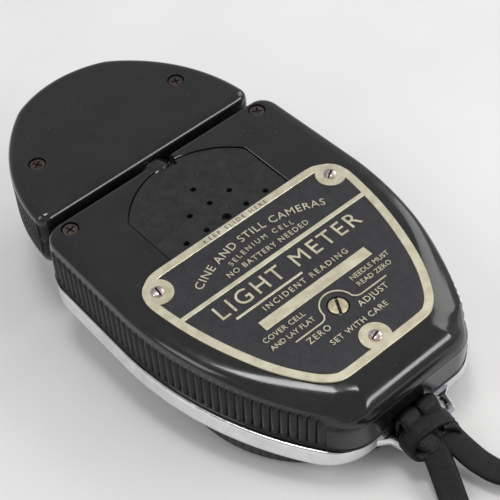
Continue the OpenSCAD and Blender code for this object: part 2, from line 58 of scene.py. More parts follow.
ORIGIN = Vector(JOINTS["dial_ring_turn"]["pos_m"]) - (ALONG * DIAL_Y - UP * 3) * MM
BACK_Z = 17.5


def to_row(p):
    """A point of the meter, in its own millimetres, in the frame's metres."""
    return ORIGIN + (ACROSS * p[0] + ALONG * p[1] + UP * p[2]) * MM


def on_table(p):
    """A point in millimetres over the table, in the frame's metres."""
    return Vector(p) * MM


# ---------------------------------------------------------------- materials


class Finish:
    """A node material: one Principled shader and the procedural textures that drive it."""

    def __init__(self, name, colour, roughness=0.4, metallic=0.0, **sockets):
        self.material = bpy.data.materials.new(name)
        self.material.use_nodes = True
        self.tree = self.material.node_tree
        self.shader = self.tree.nodes["Principled BSDF"]
        self.shader.inputs["Base Color"].default_value = (*colour, 1)
        self.shader.inputs["Roughness"].default_value = roughness
        self.shader.inputs["Metallic"].default_value = metallic
        for socket, value in sockets.items():
            self.shader.inputs[socket.replace("_", " ")].default_value = value
        self.where = self.tree.nodes.new("ShaderNodeTexCoord").outputs["Object"]
        self.normal = None

    def link(self, out, socket):
        self.tree.links.new(out, self.shader.inputs[socket])

    def node(self, kind, **values):
        node = self.tree.nodes.new(kind)
        for key, value in values.items():
            node.inputs[key.replace("_", " ")].default_value = value
        return node

    def noise(self, per_mm, detail=3.0, stretch=(1, 1, 1)):
        """Noise with about per_mm blobs a millimetre."""
        mapping = self.node("ShaderNodeMapping", Scale=stretch)
        self.tree.links.new(self.where, mapping.inputs["Vector"])
        texture = self.node("ShaderNodeTexNoise", Scale=per_mm / MM, Detail=detail)
        self.tree.links.new(mapping.outputs[0], texture.inputs["Vector"])
        return texture.outputs["Fac"]

    def ramp(self, factor, *stops):
        """A colour ramp through (place, colour or grey) stops."""
        ramp = self.node("ShaderNodeValToRGB")
        elements = ramp.color_ramp.elements
        while len(elements) < len(stops):
            elements.new(0.5)
        for element, (place, colour) in zip(elements, stops):
            element.position = place
            colour = (colour,) * 3 if isinstance(colour, float) else colour
            element.color = (*colour, 1)
        self.tree.links.new(factor, ramp.inputs["Fac"])
        return ramp.outputs["Color"]

    def mix(self, factor, first, second, kind="MIX"):
        mix = self.tree.nodes.new("ShaderNodeMix")
        mix.data_type = "RGBA"
        mix.blend_type = kind
        for value, socket in ((factor, mix.inputs[0]), (first, mix.inputs[6]), (second, mix.inputs[7])):
            if isinstance(value, bpy.types.NodeSocket):
                self.tree.links.new(value, socket)
            else:
                socket.default_value = value if socket.type == "VALUE" else (*value, 1)
        return mix.outputs[2]

    def bump(self, height, depth_mm, strength=1.0):
        bump = self.node("ShaderNodeBump", Strength=strength, Distance=depth_mm * MM)
        self.tree.links.new(height, bump.inputs["Height"])
        if self.normal is not None:
            self.tree.links.new(self.normal, bump.inputs["Normal"])
        self.normal = bump.outputs["Normal"]
        self.link(self.normal, "Normal")

    def attribute(self, name):
        node = self.tree.nodes.new("ShaderNodeAttribute")
        node.attribute_name = name
        return node.outputs["Fac"]


def bakelite():
    """Moulded black plastic: glossy on top, dulled and greyed by handling where it is fluted."""
    f = Finish("bakelite", (0.012, 0.011, 0.0105), 0.2, Coat_Weight=0.3, Coat_Roughness=0.06)
    worn = f.attribute("worn")
    cloud = f.ramp(f.noise(0.12, 4), (0.35, (0.006, 0.006, 0.006)), (0.75, (0.012, 0.0105, 0.010)))
    dusty = f.ramp(f.noise(1.3, 5), (0.3, (0.006, 0.006, 0.006)), (0.7, (0.013, 0.0125, 0.012)))
    specks = f.ramp(f.noise(2.3, 2), (0.735, 0.0), (0.76, 1.0))
    body = f.mix(worn, cloud, dusty)
    f.link(f.mix(specks, body, (0.12, 0.115, 0.11)), "Base Color")
    polish = f.ramp(f.noise(0.25, 5), (0.3, 0.12), (0.7, 0.22))
    dull = f.ramp(f.noise(0.8, 3), (0.3, 0.42), (0.7, 0.56))
    f.link(f.mix(worn, polish, dull), "Roughness")
    f.link(f.mix(worn, (0.45, 0.45, 0.45), (0.1, 0.1, 0.1)), "Specular IOR Level")
    f.bump(f.noise(0.35, 2), 0.02, 0.5)
    f.bump(f.noise(9.0, 2), 0.004, 0.5)
    return f.material


def chrome():
    f = Finish("chrome", (0.80, 0.80, 0.81), 0.09, 1.0)
    f.link(f.ramp(f.noise(0.3, 5), (0.3, (0.70, 0.70, 0.70)), (0.7, (0.84, 0.84, 0.85))), "Base Color")
    f.link(f.ramp(f.noise(0.6, 6), (0.35, 0.07), (0.62, 0.16), (0.75, 0.30)), "Roughness")
    f.bump(f.noise(0.15, 2), 0.03, 0.35)
    return f.material


def old_gold():
    """The nameplate's raised metal: pale, satin, browned a little in patches."""
    f = Finish("old_gold", (0.62, 0.56, 0.37), 0.38, 0.75)
    f.link(f.ramp(f.noise(0.35, 5), (0.3, (0.52, 0.47, 0.33)), (0.55, (0.63, 0.59, 0.44)),
                  (0.8, (0.70, 0.67, 0.53))), "Base Color")
    f.link(f.ramp(f.noise(1.5, 4), (0.3, 0.34), (0.7, 0.52)), "Roughness")
    f.bump(f.noise(6.0, 3, (1, 0.25, 1)), 0.01, 0.5)
    return f.material


def plate_black():
    f = Finish("plate_black", (0.012, 0.012, 0.014), 0.36)
    f.link(f.ramp(f.noise(0.5, 4), (0.3, (0.010, 0.010, 0.012)), (0.75, (0.021, 0.021, 0.024))), "Base Color")
    f.link(f.ramp(f.noise(2.0, 3), (0.3, 0.30), (0.7, 0.44)), "Roughness")
    f.bump(f.noise(3.6, 3), 0.05, 0.8)
    return f.material


def turned_metal(name, low, high, roughness, grime_and_slot_shade):
    """Machined metal with a cloudy colour between low and high, and dark dirt in spots."""
    f = Finish(name, high, roughness, 1.0)
    tone = f.ramp(f.noise(0.8, 4), (0.3, low), (0.7, high))
    spots = f.ramp(f.noise(2.5, 4), (0.62, 0.0), (0.80, 1.0))
    f.link(f.mix(spots, tone, grime_and_slot_shade), "Base Color")
    f.link(f.ramp(f.noise(3.0, 4), (0.3, roughness * 0.8), (0.7, roughness * 1.5)), "Roughness")
    f.bump(f.noise(12.0, 2), 0.004, 0.6)
    return f.material


def matt(name, low, high, roughness, grain=8.0, **sockets):
    """A plain unpolished surface with a fine grain."""
    f = Finish(name, high, roughness, **sockets)
    f.link(f.ramp(f.noise(0.6, 4), (0.3, low), (0.7, high)), "Base Color")
    f.link(f.ramp(f.noise(2.0, 3), (0.3, roughness * 0.85), (0.7, min(1.0, roughness * 1.2))), "Roughness")
    f.bump(f.noise(grain, 3), 0.01, 0.5)
    return f.material


def slide_black():
    f = Finish("slide_black", (0.016, 0.0155, 0.016), 0.42, Specular_IOR_Level=0.28)
    specks = f.ramp(f.noise(2.0, 3), (0.70, 0.0), (0.74, 1.0))
    tone = f.ramp(f.noise(0.25, 4), (0.3, (0.013, 0.013, 0.0135)), (0.7, (0.022, 0.0215, 0.0215)))
    f.link(f.mix(specks, tone, (0.10, 0.10, 0.10)), "Base Color")
    f.link(f.ramp(f.noise(0.5, 4), (0.3, 0.34), (0.7, 0.50)), "Roughness")
    f.bump(f.noise(5.0, 4), 0.01, 0.5)
    return f.material


def opal():
    f = Finish("opal", (0.88, 0.87, 0.82), 0.32, Subsurface_Weight=0.35, Coat_Weight=0.2)
    f.shader.inputs["Subsurface Radius"].default_value = (0.004, 0.0036, 0.003)
    f.link(f.ramp(f.noise(0.15, 4), (0.3, (0.84, 0.82, 0.75)), (0.7, (0.91, 0.90, 0.86))), "Base Color")
    f.link(f.ramp(f.noise(1.0, 3), (0.3, 0.26), (0.7, 0.40)), "Roughness")
    f.bump(f.noise(1.2, 3), 0.01, 0.4)
    return f.material


def clear():
    f = Finish("clear", (0.93, 0.96, 0.95), 0.05, Transmission_Weight=1.0, IOR=1.49)
    f.link(f.ramp(f.noise(0.5, 4), (0.4, 0.03), (0.75, 0.12)), "Roughness")
    f.bump(f.noise(0.2, 2), 0.01, 0.3)
    return f.material


def woven():
    """Black rayon: the weave is in the mesh, and the thread in the bump and the sheen."""
    f = Finish("woven_black", (0.004, 0.004, 0.0045), 0.62, Sheen_Weight=0.03, Sheen_Roughness=0.4)
    f.shader.inputs["Sheen Tint"].default_value = (0.3, 0.3, 0.33, 1)
    f.shader.inputs["Specular IOR Level"].default_value = 0.26
    f.link(f.ramp(f.noise(1.6, 4), (0.3, (0.0015, 0.0015, 0.002)), (0.7, (0.004, 0.004, 0.0045))), "Base Color")
    f.link(f.ramp(f.noise(3.0, 3), (0.3, 0.36), (0.7, 0.54)), "Roughness")
    f.bump(f.noise(2.4, 2), 0.14, 0.9)
    f.bump(f.noise(14.0, 3), 0.03, 0.7)
    return f.material


FINISHES = {
    "bakelite": bakelite(),
    "chrome": chrome(),
    "gold": old_gold(),
    "plate_black": plate_black(),
    "nickel": turned_metal("rosy_nickel", (0.46, 0.37, 0.35), (0.70, 0.61, 0.57), 0.26, (0.22, 0.16, 0.14)),
    "brass_screw": turned_metal("pale_brass", (0.52, 0.44, 0.28), (0.70, 0.63, 0.45), 0.34, (0.20, 0.15, 0.08)),
    "dark_screw": turned_metal("blackened", (0.055, 0.045, 0.041), (0.14, 0.112, 0.100), 0.36, (0.03, 0.022, 0.018)),
    "steel": turned_metal("steel", (0.42, 0.43, 0.45), (0.60, 0.61, 0.63), 0.3, (0.22, 0.21, 0.20)),
    "brass": turned_metal("brass", (0.56, 0.40, 0.17), (0.76, 0.58, 0.28), 0.28, (0.25, 0.15, 0.06)),
    "copper": turned_metal("copper", (0.45, 0.18, 0.09), (0.66, 0.31, 0.16), 0.32, (0.22, 0.08, 0.04)),
    "slide": slide_black(),
    "opal": opal(),
    "clear": clear(),
    "lace": woven(),
    "ink_black": matt("ink_black", (0.010, 0.010, 0.010), (0.022, 0.022, 0.022), 0.5),
    "ink_white": matt("ink_white", (0.66, 0.64, 0.56), (0.80, 0.78, 0.70), 0.5),
    "dial_black": matt("dial_black", (0.012, 0.012, 0.012), (0.026, 0.025, 0.024), 0.42),
    "dial_face": turned_metal("dial_face", (0.60, 0.57, 0.48), (0.74, 0.71, 0.62), 0.42, (0.45, 0.40, 0.30)),
    "cream": matt("cream", (0.72, 0.66, 0.50), (0.84, 0.79, 0.64), 0.55),
    "red": matt("red_lacquer", (0.34, 0.01, 0.01), (0.50, 0.03, 0.02), 0.35),
    "fibre": matt("fibre", (0.12, 0.05, 0.02), (0.24, 0.11, 0.05), 0.7, 3.0),
    "selenium": matt("selenium", (0.05, 0.06, 0.075), (0.12, 0.14, 0.17), 0.35),
    "sleeving": matt("sleeving", (0.24, 0.02, 0.015), (0.38, 0.05, 0.03), 0.5),
    # pocket: a near-black matt used only for the bars of painted shade in the screw slots
    "pocket": matt("pocket", (0.004, 0.004, 0.004), (0.010, 0.010, 0.010), 0.7),
}

# ---------------------------------------------------------------- meshes


def make(name, verts, faces, body, finish, slot, replaces=(), place=to_row, sharp=32, worn=None):
    """Adds a closed mesh as a piece, with its normals outwards and its hard edges kept."""
    mesh = bpy.data.meshes.new(name)
    mesh.from_pydata([place(v) for v in verts], [], faces)
    if worn is not None:
        mesh.attributes.new("worn", "FLOAT", "POINT").data.foreach_set("value", worn)
    work = bmesh.new()
    work.from_mesh(mesh)
    bmesh.ops.remove_doubles(work, verts=work.verts, dist=2e-7)
    bmesh.ops.recalc_face_normals(work, faces=work.faces)
    work.to_mesh(mesh)
    work.free()
    piece = bpy.data.objects.new(name, mesh)
    bpy.context.scene.collection.objects.link(piece)
    return dress(piece, body, finish, replaces, sharp)


def dress(piece, body, finish, replaces=(), sharp=32):
    soften(piece, sharp)
    piece.data.materials.clear()
    piece.data.materials.append(FINISHES[finish])
    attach(piece, body)
    if replaces:
        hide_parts(*replaces)
    return piece


def soften(piece, sharp):
    piece.data.shade_smooth()
    piece.data.set_sharp_from_angle(angle=math.radians(sharp))


def loft(rings, closed=False):
    """Faces between rings of equal length, capped at both ends, or joined up when closed."""
    n = len(rings[0])
    faces = []
    for i in range(len(rings) if closed else len(rings) - 1):
        a, b = i * n, (i + 1) % len(rings) * n
        faces += [(a + k, a + (k + 1) % n, b + (k + 1) % n, b + k) for k in range(n)]
    if not closed:
        faces.append(tuple(range(n - 1, -1, -1)))
        faces.append(tuple(range((len(rings) - 1) * n, len(rings) * n)))
    return [v for ring in rings for v in ring], faces


def turned(profile, n, at=(0, 0, 0), swell=None, axis="z"):
    """A turned solid: (radius, height) points round an axis; swell(angle, radius, height) adds to the radius."""
    rings = []
    for r, h in profile:
        ring = []
        for k in range(n):
            a = math.tau * k / n
            radius = r + (swell(a, r, h) if swell else 0)
            u, v = radius * math.cos(a), radius * math.sin(a)
            offset = (u, v, h) if axis == "z" else (u, h, -v)
            ring.append(tuple(c + o for c, o in zip(at, offset)))
        rings.append(ring)
    return loft(rings, closed=profile[0][0] > 0 and profile[0] != profile[-1] and axis_free(profile))


def axis_free(profile):
    """True where a profile is a closed outline that never touches its axis."""
    return min(r for r, h in profile) > 0.01


def prism(outline, z0, z1, chamfer=0.0):
    """An upright solid on an outline, with chamfered edges top and bottom."""
    inner = shrunk(outline, chamfer) if chamfer else outline
    levels = [(inner, z0), (outline, z0 + chamfer), (outline, z1 - chamfer), (inner, z1)]
    if not chamfer:
        levels = [(outline, z0), (outline, z1)]
    return loft([[(x, y, z) for x, y in ring] for ring, z in levels])


def shrunk(outline, by):
    """An outline, given anticlockwise, moved inwards."""
    out = []
    n = len(outline)
    for i in range(n):
        a, b, c = (Vector(outline[(i + k) % n]) for k in (-1, 0, 1))
        u, v = (b - a).normalized(), (c - b).normalized()
        side = Vector((-u.y - v.y, u.x + v.x))
        side = side / max(0.35, side.length_squared / 2) if side.length > 1e-6 else side
        out.append(tuple(b + side * by))
    return out


def merged(*shapes):
    """Several (verts, faces) shapes as one."""
    verts, faces = [], []
    for more_verts, more_faces in shapes:
        start = len(verts)
        verts += more_verts
        faces += [tuple(start + k for k in face) for face in more_faces]
    return verts, faces


def cut(piece, shapes, operation="DIFFERENCE", place=to_row):
    """Takes solids away from a piece, or adds them to it, one after another."""
    for verts, faces in shapes:
        mesh = bpy.data.meshes.new("cutter")
        mesh.from_pydata([place(v) for v in verts], [], faces)
        work = bmesh.new()
        work.from_mesh(mesh)
        bmesh.ops.recalc_face_normals(work, faces=work.faces)
        work.to_mesh(mesh)
        work.free()
        cutter = bpy.data.objects.new("cutter", mesh)
        bpy.context.scene.collection.objects.link(cutter)
        modifier = piece.modifiers.new("cut", "BOOLEAN")
        modifier.operation = operation
        modifier.solver = "EXACT"
        modifier.object = cutter
        graph = bpy.context.evaluated_depsgraph_get()
        result = bpy.data.meshes.new_from_object(piece.evaluated_get(graph))
        piece.modifiers.clear()
        old = piece.data
        piece.data = result
        bpy.data.objects.remove(cutter)
        bpy.data.meshes.remove(old)
    return piece


def arc(centre, r, a0, a1, n):
    """n + 1 points of an arc, in degrees."""
    steps = [math.radians(a0 + (a1 - a0) * k / n) for k in range(n + 1)]
    return [(centre[0] + r * math.cos(a), centre[1] + r * math.sin(a)) for a in steps]


def ease(x, low, high):
    """0 below low, 1 above high, and smooth between."""
    t = min(1.0, max(0.0, (x - low) / (high - low)))
    return t * t * (3 - 2 * t)


def even(points, n):
    """n points at even steps along a line of points, without its last one."""
    lengths = [0.0]
    for a, b in zip(points, points[1:]):
        lengths.append(lengths[-1] + math.dist(a, b))
    out, i = [], 0
    for k in range(n):
        target = lengths[-1] * k / n
        while i < len(points) - 2 and lengths[i + 1] < target:
            i += 1
        t = (target - lengths[i]) / max(1e-9, lengths[i + 1] - lengths[i])
        out.append(tuple(p + (q - p) * t for p, q in zip(points[i], points[i + 1])))
    return out


def round_hole(x, y, r, z0, z1, n=32, flare=0.0):
    """A cutter for a round hole, flared at its upper end."""
    profile = [(r, z0), (r, z1 - flare), (r + flare, z1)] if flare else [(r, z0), (r, z1)]
    return loft([[(x + q * math.cos(math.tau * k / n), y + q * math.sin(math.tau * k / n), z)
                  for k in range(n)] for q, z in profile])


def swivel_bore(r, y0, y1, n=72):
    """A cutter for a round bore along the swivel's axis."""
    return loft([[(r * math.cos(math.tau * k / n), y, SWIVEL_Z + r * math.sin(math.tau * k / n)) for k in range(n)]
                 for y in (y0, y1)])


def box(x0, x1, y0, y1, z0, z1):
    return prism([(x0, y0), (x1, y0), (x1, y1), (x0, y1)], z0, z1)

# ---------------------------------------------------------------- camera, light and table


def set_camera():
    """The camera at the photograph's angle."""
    camera = bpy.data.cameras.new("camera")
    camera.lens = 99.22
    camera.sensor_width = 36
    camera.clip_start, camera.clip_end = 0.01, 20
    eye = bpy.data.objects.new("camera", camera)
    eye.location = to_row((-128.0, -166.3, 243.1))
    aim = to_row((-2.95, -11.28, BACK_Z))
    turn = (aim - eye.location).to_track_quat("-Z", "Y")
    eye.rotation_euler = (turn.to_matrix() @ Matrix.Rotation(math.radians(-8.12), 3, "Z")).to_euler()
    bpy.context.scene.collection.objects.link(eye)
    bpy.context.scene.camera = eye


def softbox(name, at, aim, size, watts, colour=(1, 1, 1)):
    light = bpy.data.lights.new(name, "AREA")
    light.shape = "RECTANGLE"
    light.size, light.size_y = size
    light.energy = watts
    light.color = colour
    lamp = bpy.data.objects.new(name, light)
    lamp.location = at
    lamp.rotation_euler = (Vector(aim) - Vector(at)).to_track_quat("-Z", "Y").to_euler()
    bpy.context.scene.collection.objects.link(lamp)


def set_light():
    world = bpy.data.worlds.new("studio")
    world.use_nodes = True
    world.node_tree.nodes["Background"].inputs["Color"].default_value = (0.93, 0.94, 1.0, 1)
    world.node_tree.nodes["Background"].inputs["Strength"].default_value = 0.47
    bpy.context.scene.world = world
    softbox("key", (0.80, 0.05, 0.62), (0, 0, 0), (0.6, 0.5), 2.4, (1, 0.99, 0.97))
    softbox("left", (-0.75, 0.15, 0.70), (0, 0, 0), (0.3, 0.6), 1.8)
    softbox("strip", (0.45, -0.75, 0.52), (0, 0, 0), (0.8, 0.2), 4.2)
    softbox("edge", (0.03, 0.09, 1.0), (0, 0, 0), (0.25, 0.25), 2.2)
    bpy.context.scene.view_settings.view_transform = "Standard"


def set_table():
    mesh = bpy.data.meshes.new("table")
    half = 3.0
    mesh.from_pydata([(-half, -half, 0), (half, -half, 0), (half, half, 0), (-half, half, 0)], [], [(0, 1, 2, 3)])
    table = bpy.data.objects.new("table", mesh)
    bpy.context.scene.collection.objects.link(table)
    f = Finish("table_white", (0.80, 0.79, 0.77), 0.5)
    f.link(f.ramp(f.noise(0.02, 3), (0.3, (0.775, 0.765, 0.745)), (0.7, (0.82, 0.81, 0.79))), "Base Color")
    f.bump(f.noise(1.0, 3), 0.02, 0.2)
    mesh.materials.append(f.material)


# ---------------------------------------------------------------- lace

LACE_W = 6.0
LACE_T = 1.5
LACE_STEP = 0.45          # spacing of the rings of the woven mesh
COIL_C = (0.0, -123.0)
COIL_R0, COIL_R1 = 37.0, 25.8
COIL_TURNS = 1.45
TAIL_R = 18.3             # where a strand ends, at its end knot
TAIL_ANGLE = 60
TAIL_Z = 1.8
PER_TURN = 48             # points a turn
STRAND_A = [(-2.6, -65.2, 6.4), (-4.2, -69.2, 4.4), (-6.3, -73.6, 2.5), (-8.8, -78, 1.4), (-13, -83, 1.1),
            (-20, -89, 1.1), (-27, -96, 1.1), (-32, -104, 1.1), (-36, -113, 1.1), (-37, -123, 1.1)]
STRAND_B = [(1.6, -65, 6.8), (1.9, -69.6, 5.0), (2.4, -74.4, 3.8), (4.0, -79, 3.2), (8.6, -83.2, 3.1),
            (17, -88.3, 3.1), (25, -95, 3.1), (31, -103, 3.1), (36, -113, 3.1), (37, -123, 3.1)]


def coil(route, start, way):
    """The route, then its coil from angle start, turning way (1 or -1), then in to the end knot."""
    z = route[-1][2]
    steps = round(PER_TURN * COIL_TURNS)
    points = list(route)
    for k in range(1, steps + 1):
        a = math.radians(start + way * 360 * k / PER_TURN)
        r = COIL_R0 + (COIL_R1 - COIL_R0) * k / steps
        points.append((COIL_C[0] + r * math.cos(a), COIL_C[1] + r * math.sin(a), z))
    last = start + way * 360 * COIL_TURNS
    for k in range(1, 9):
        t = k / 8
        a = math.radians(last + way * TAIL_ANGLE * t)
        r = COIL_R1 + (TAIL_R - COIL_R1) * t * t
        points.append((COIL_C[0] + r * math.cos(a), COIL_C[1] + r * math.sin(a), z + (TAIL_Z - z) * t * t))
    return points


def smooth_line(points, step):
    """A Catmull-Rom curve through the points, at about even steps."""
    line = []
    padded = [points[0]] + list(points) + [points[-1]]
    for i in range(1, len(padded) - 2):
        p0, p1, p2, p3 = (Vector(padded[i + k]) for k in (-1, 0, 1, 2))
        n = max(2, round((p2 - p1).length / step))
        for k in range(n):
            t = k / n
            line.append(0.5 * (2 * p1 + (p2 - p0) * t + (2 * p0 - 5 * p1 + 4 * p2 - p3) * t * t
                               + (3 * p1 - p0 - 3 * p2 + p3) * t ** 3))
    line.append(Vector(points[-1]))
    return line


LACE_SECTION = 22


def lace_mesh(line, width=LACE_W, thick=LACE_T, side_at=None, pinch=None):
    """A flat braided lace along a line. Its herringbone ridges are in the mesh."""
    rings = []
    run = 0.0
    side = None
    for i, p in enumerate(line):
        ahead = (line[min(i + 1, len(line) - 1)] - line[max(i - 1, 0)]).normalized()
        if i:
            run += (p - line[i - 1]).length
        if side_at:
            side = side_at(i / (len(line) - 1))
            side = (side - ahead * side.dot(ahead)).normalized()
        else:
            side = Vector((ahead.y, -ahead.x, 0)).normalized()
        up = side.cross(ahead)
        w = width * (pinch(i / (len(line) - 1)) if pinch else 1.0)
        ring = []
        for k in range(LACE_SECTION):
            a = math.tau * k / LACE_SECTION
            u = math.copysign(abs(math.cos(a)) ** 0.55, math.cos(a))
            v = math.copysign(abs(math.sin(a)) ** 0.8, math.sin(a))
            weave = math.sin(math.tau * (run / 1.5 + 0.85 * abs(u) * math.copysign(1, v)))
            ridge = 0.27 * weave * (1 - u * u * 0.6) - 0.25 * math.exp(-(u / 0.12) ** 2)
            ring.append(p + side * u * w / 2 + up * (v * thick / 2 + math.copysign(ridge, v) * abs(v)))
        rings.append([tuple(q) for q in ring])
    return loft(rings)


def add_strand(letter, route, start, way):
    points = coil(route, start, way)
    line = smooth_line(points, LACE_STEP)
    verts, faces = lace_mesh(line)
    strand = make(f"lace_strand_{letter}_woven", verts, faces, "case", "lace", "lace",
                  (f"lace_strand_{letter}", f"lace_coil_{letter}"), on_table, 60)
    end = add_end_knot(letter, line[-1], line[-1] - line[-12])


def knot_line(centre, size, n=90, lean=0.0):
    """A trefoil of that size round a centre, leaned about x."""
    c, s = math.cos(lean), math.sin(lean)
    line = []
    for k in range(n):
        t = math.tau * k / n
        x = (math.sin(t) + 2 * math.sin(2 * t)) / 3
        y = (math.cos(t) - 2 * math.cos(2 * t)) / 3
        z = -math.sin(3 * t) / 2.4
        line.append(Vector(centre) + size * Vector((x, c * y - s * z, s * y + c * z)))
    return line


def add_end_knot(letter, at, ahead):
    """A small overhand knot and a bound tip at a strand's end."""
    ahead = Vector((ahead[0], ahead[1], 0)).normalized()
    centre = Vector(at) + ahead * 2.2
    centre.z = 3.0
    turns = lace_tube(knot_line(centre, 2.1), 2.3, 1.5, closed=True)
    tip = lace_tube([centre + ahead * d + Vector((0, 0, -1.6 - 0.05 * d)) for d in (0, 1.5, 3, 4.2)], 3.2, 1.3)
    verts, faces = merged(turns, tip)
    return make(f"lace_end_knot_{letter}_tied", verts, faces, "case", "lace", "lace",
                (f"lace_end_knot_{letter}",), on_table, 60)


def lace_tube(line, width, thick, closed=False):
    """A short fat length of lace for a knot: an oval tube that turns smoothly with its line."""
    line = [Vector(p) for p in line]
    n = len(line)
    rings = []
    side = Vector((1, 0, 0))
    run = 0.0
    for i, p in enumerate(line):
        after = line[(i + 1) % n] if closed else line[min(i + 1, n - 1)]
        before = line[(i - 1) % n] if closed else line[max(i - 1, 0)]
        ahead = (after - before).normalized()
        side = (side - ahead * side.dot(ahead)).normalized()
        up = side.cross(ahead)
        run += (p - line[i - 1]).length if i else 0
        ring = []
        for k in range(LACE_SECTION):
            a = math.tau * k / LACE_SECTION
            ridge = 1 + 0.05 * math.sin(math.tau * run / 1.1 + 3 * a)
            ring.append(tuple(p + (side * math.cos(a) * width / 2 + up * math.sin(a) * thick / 2) * ridge))
        rings.append(ring)
    return loft(rings, closed=closed)


def add_lug_knot():
    """The lace's two legs come up through the lug's slot and over its bar, and its bight crosses them."""
    legs = []
    for x, x_end in ((-4.0, -2.7), (1.1, 1.3)):
        route = [(x, -61.9, 4.0), (x, -60.2, 4.2), (x, -59.1, 6.6), (x, -58.7, 9.6), (x, -59.2, 12.2),
                 (x, -60.6, 12.2), (x, -62.2, 9.8), (x, -63.6, 8.3), (x_end, -65.2, 6.7), (x_end, -66.6, 5.9)]
        legs.append(lace_mesh(smooth_line(route, LACE_STEP), 5.0, 1.4, lambda t: Vector((1, 0.05, 0))))
    verts, faces = merged(*legs)
    wrap = make("lug_wrap_woven", verts, faces, "case", "lace", "lace", ("lug_wrap",), on_table, 60)
    bight = [(-3.6, -65.2, 5.6), (-6.3, -63.8, 5.9), (-7.3, -62.7, 7.8), (-5.6, -62.5, 10.0), (-2.0, -62.9, 10.7),
             (1.6, -63.3, 10.2), (3.5, -63.4, 8.4), (3.2, -64.2, 6.6), (1.2, -65.3, 6.0)]
    fold = [(0.6, -64.6, 9.3), (2.4, -65.2, 8.5), (3.7, -65.9, 7.0), (3.1, -66.5, 5.8), (1.4, -66.9, 5.4)]
    verts, faces = merged(
        lace_mesh(smooth_line(bight, LACE_STEP), 4.6, 1.7, lambda t: Vector((0.1, 1, 0.1))),
        lace_mesh(smooth_line(fold, LACE_STEP), 2.8, 1.4, lambda t: Vector((0.3, 1, 0.1))))
    knot = make("lug_knot_tied", verts, faces, "case", "lace", "lace", ("lug_knot",), on_table, 60)
    return [wrap, knot]


# ---------------------------------------------------------------- case

HALF_W = 32.7
FLARE = 3.7
CASE_TOP_Y = 24.7
CASE_END_Y = -58.8
SPLIT_Z = 4.5
RIB_STEPS = 10            # points across one rib
CASE_RIBS = 39
RIB_DEPTH = 0.55
LOW_N, TOP_N = 30, 36


def case_runs(flare, inset=0.0):
    """The right half of the case's outline, as its lace end, its side and its head end."""
    r = 85.6 - 3.1 * flare - inset
    cx = HALF_W - 85.6 + (FLARE + 3.1) * flare
    cy = -5 - 3 * flare
    end_r = max(0.8, 3 + 10 * flare - inset)
    fy = CASE_END_Y + inset + end_r
    fx = cx + math.sqrt((r - end_r) ** 2 - (fy - cy) ** 2)
    a = math.degrees(math.atan2(fy - cy, fx - cx))
    top_x = HALF_W - 0.7 + FLARE * flare - inset
    top_r = max(0.8, 3.4 + 6 * flare ** 2 - inset)
    top_y = CASE_TOP_Y - inset
    low = [(0, CASE_END_Y + inset)] + arc((fx, fy), end_r, -90, a, 12)
    side = arc((cx, cy), r, a, 0, 60) + [(top_x, top_y - top_r)]
    top = arc((top_x - top_r, top_y - top_r), top_r, 0, 90, 10) + [(0, top_y)]
    return low, side, top


def whole_ring(half, middle):
    return half + [middle] + [(-x, y) for x, y in reversed(half[1:])]


def case_ring(flare, inset=0.0):
    low, side, top = case_runs(flare, inset)
    half = even(low, LOW_N) + even(side, CASE_RIBS * RIB_STEPS) + even(top, TOP_N)
    return whole_ring(half, (0, CASE_TOP_Y - inset))


def outward(ring):
    """The outward normal at each point of an anticlockwise ring."""
    n = len(ring)
    out = []
    for i in range(n):
        (x0, y0), (x1, y1) = ring[i - 1], ring[(i + 1) % n]
        d = math.hypot(x1 - x0, y1 - y0)
        out.append(((y1 - y0) / d, (x0 - x1) / d))
    return out


def rib_phase(first, count, n):
    """For each point of a ring, where it lies across its rib, or None off the ribbed runs."""
    phase = [None] * n
    for k in range(count * RIB_STEPS + 1):
        place = k % RIB_STEPS / RIB_STEPS
        phase[first + k] = place
        phase[-(first + k)] = place
    return phase


def moved(ring, normals, by, z):
    """A ring at height z, moved outwards by a number or by each point's own."""
    if not isinstance(by, list):
        by = [by] * len(ring)
    z = z if isinstance(z, list) else [z] * len(ring)
    return [(x + nx * d, y + ny * d, h) for (x, y), (nx, ny), d, h in zip(ring, normals, by, z)]


def rounded_edge(ring_at, narrow, broad, drop, z, soft, steps=8):
    """Rings from a flat face at z, each point falling by its drop to a wall. Where soft is 1 the edge is
    broad wide, not narrow."""
    rings = []
    for k in range(-1, steps + 1):
        t = math.pi / 2 * max(k, 0) / steps
        inward = 1 - math.sin(t)
        extra = 0.3 if k < 0 else 0.0
        near, far = ring_at(narrow * inward + extra), ring_at(broad * inward + extra)
        rings.append([(p[0] + (q[0] - p[0]) * s, p[1] + (q[1] - p[1]) * s,
                       z - d * (1 - math.cos(t)))
                      for p, q, s, d in zip(near, far, soft, drop)])
    return rings


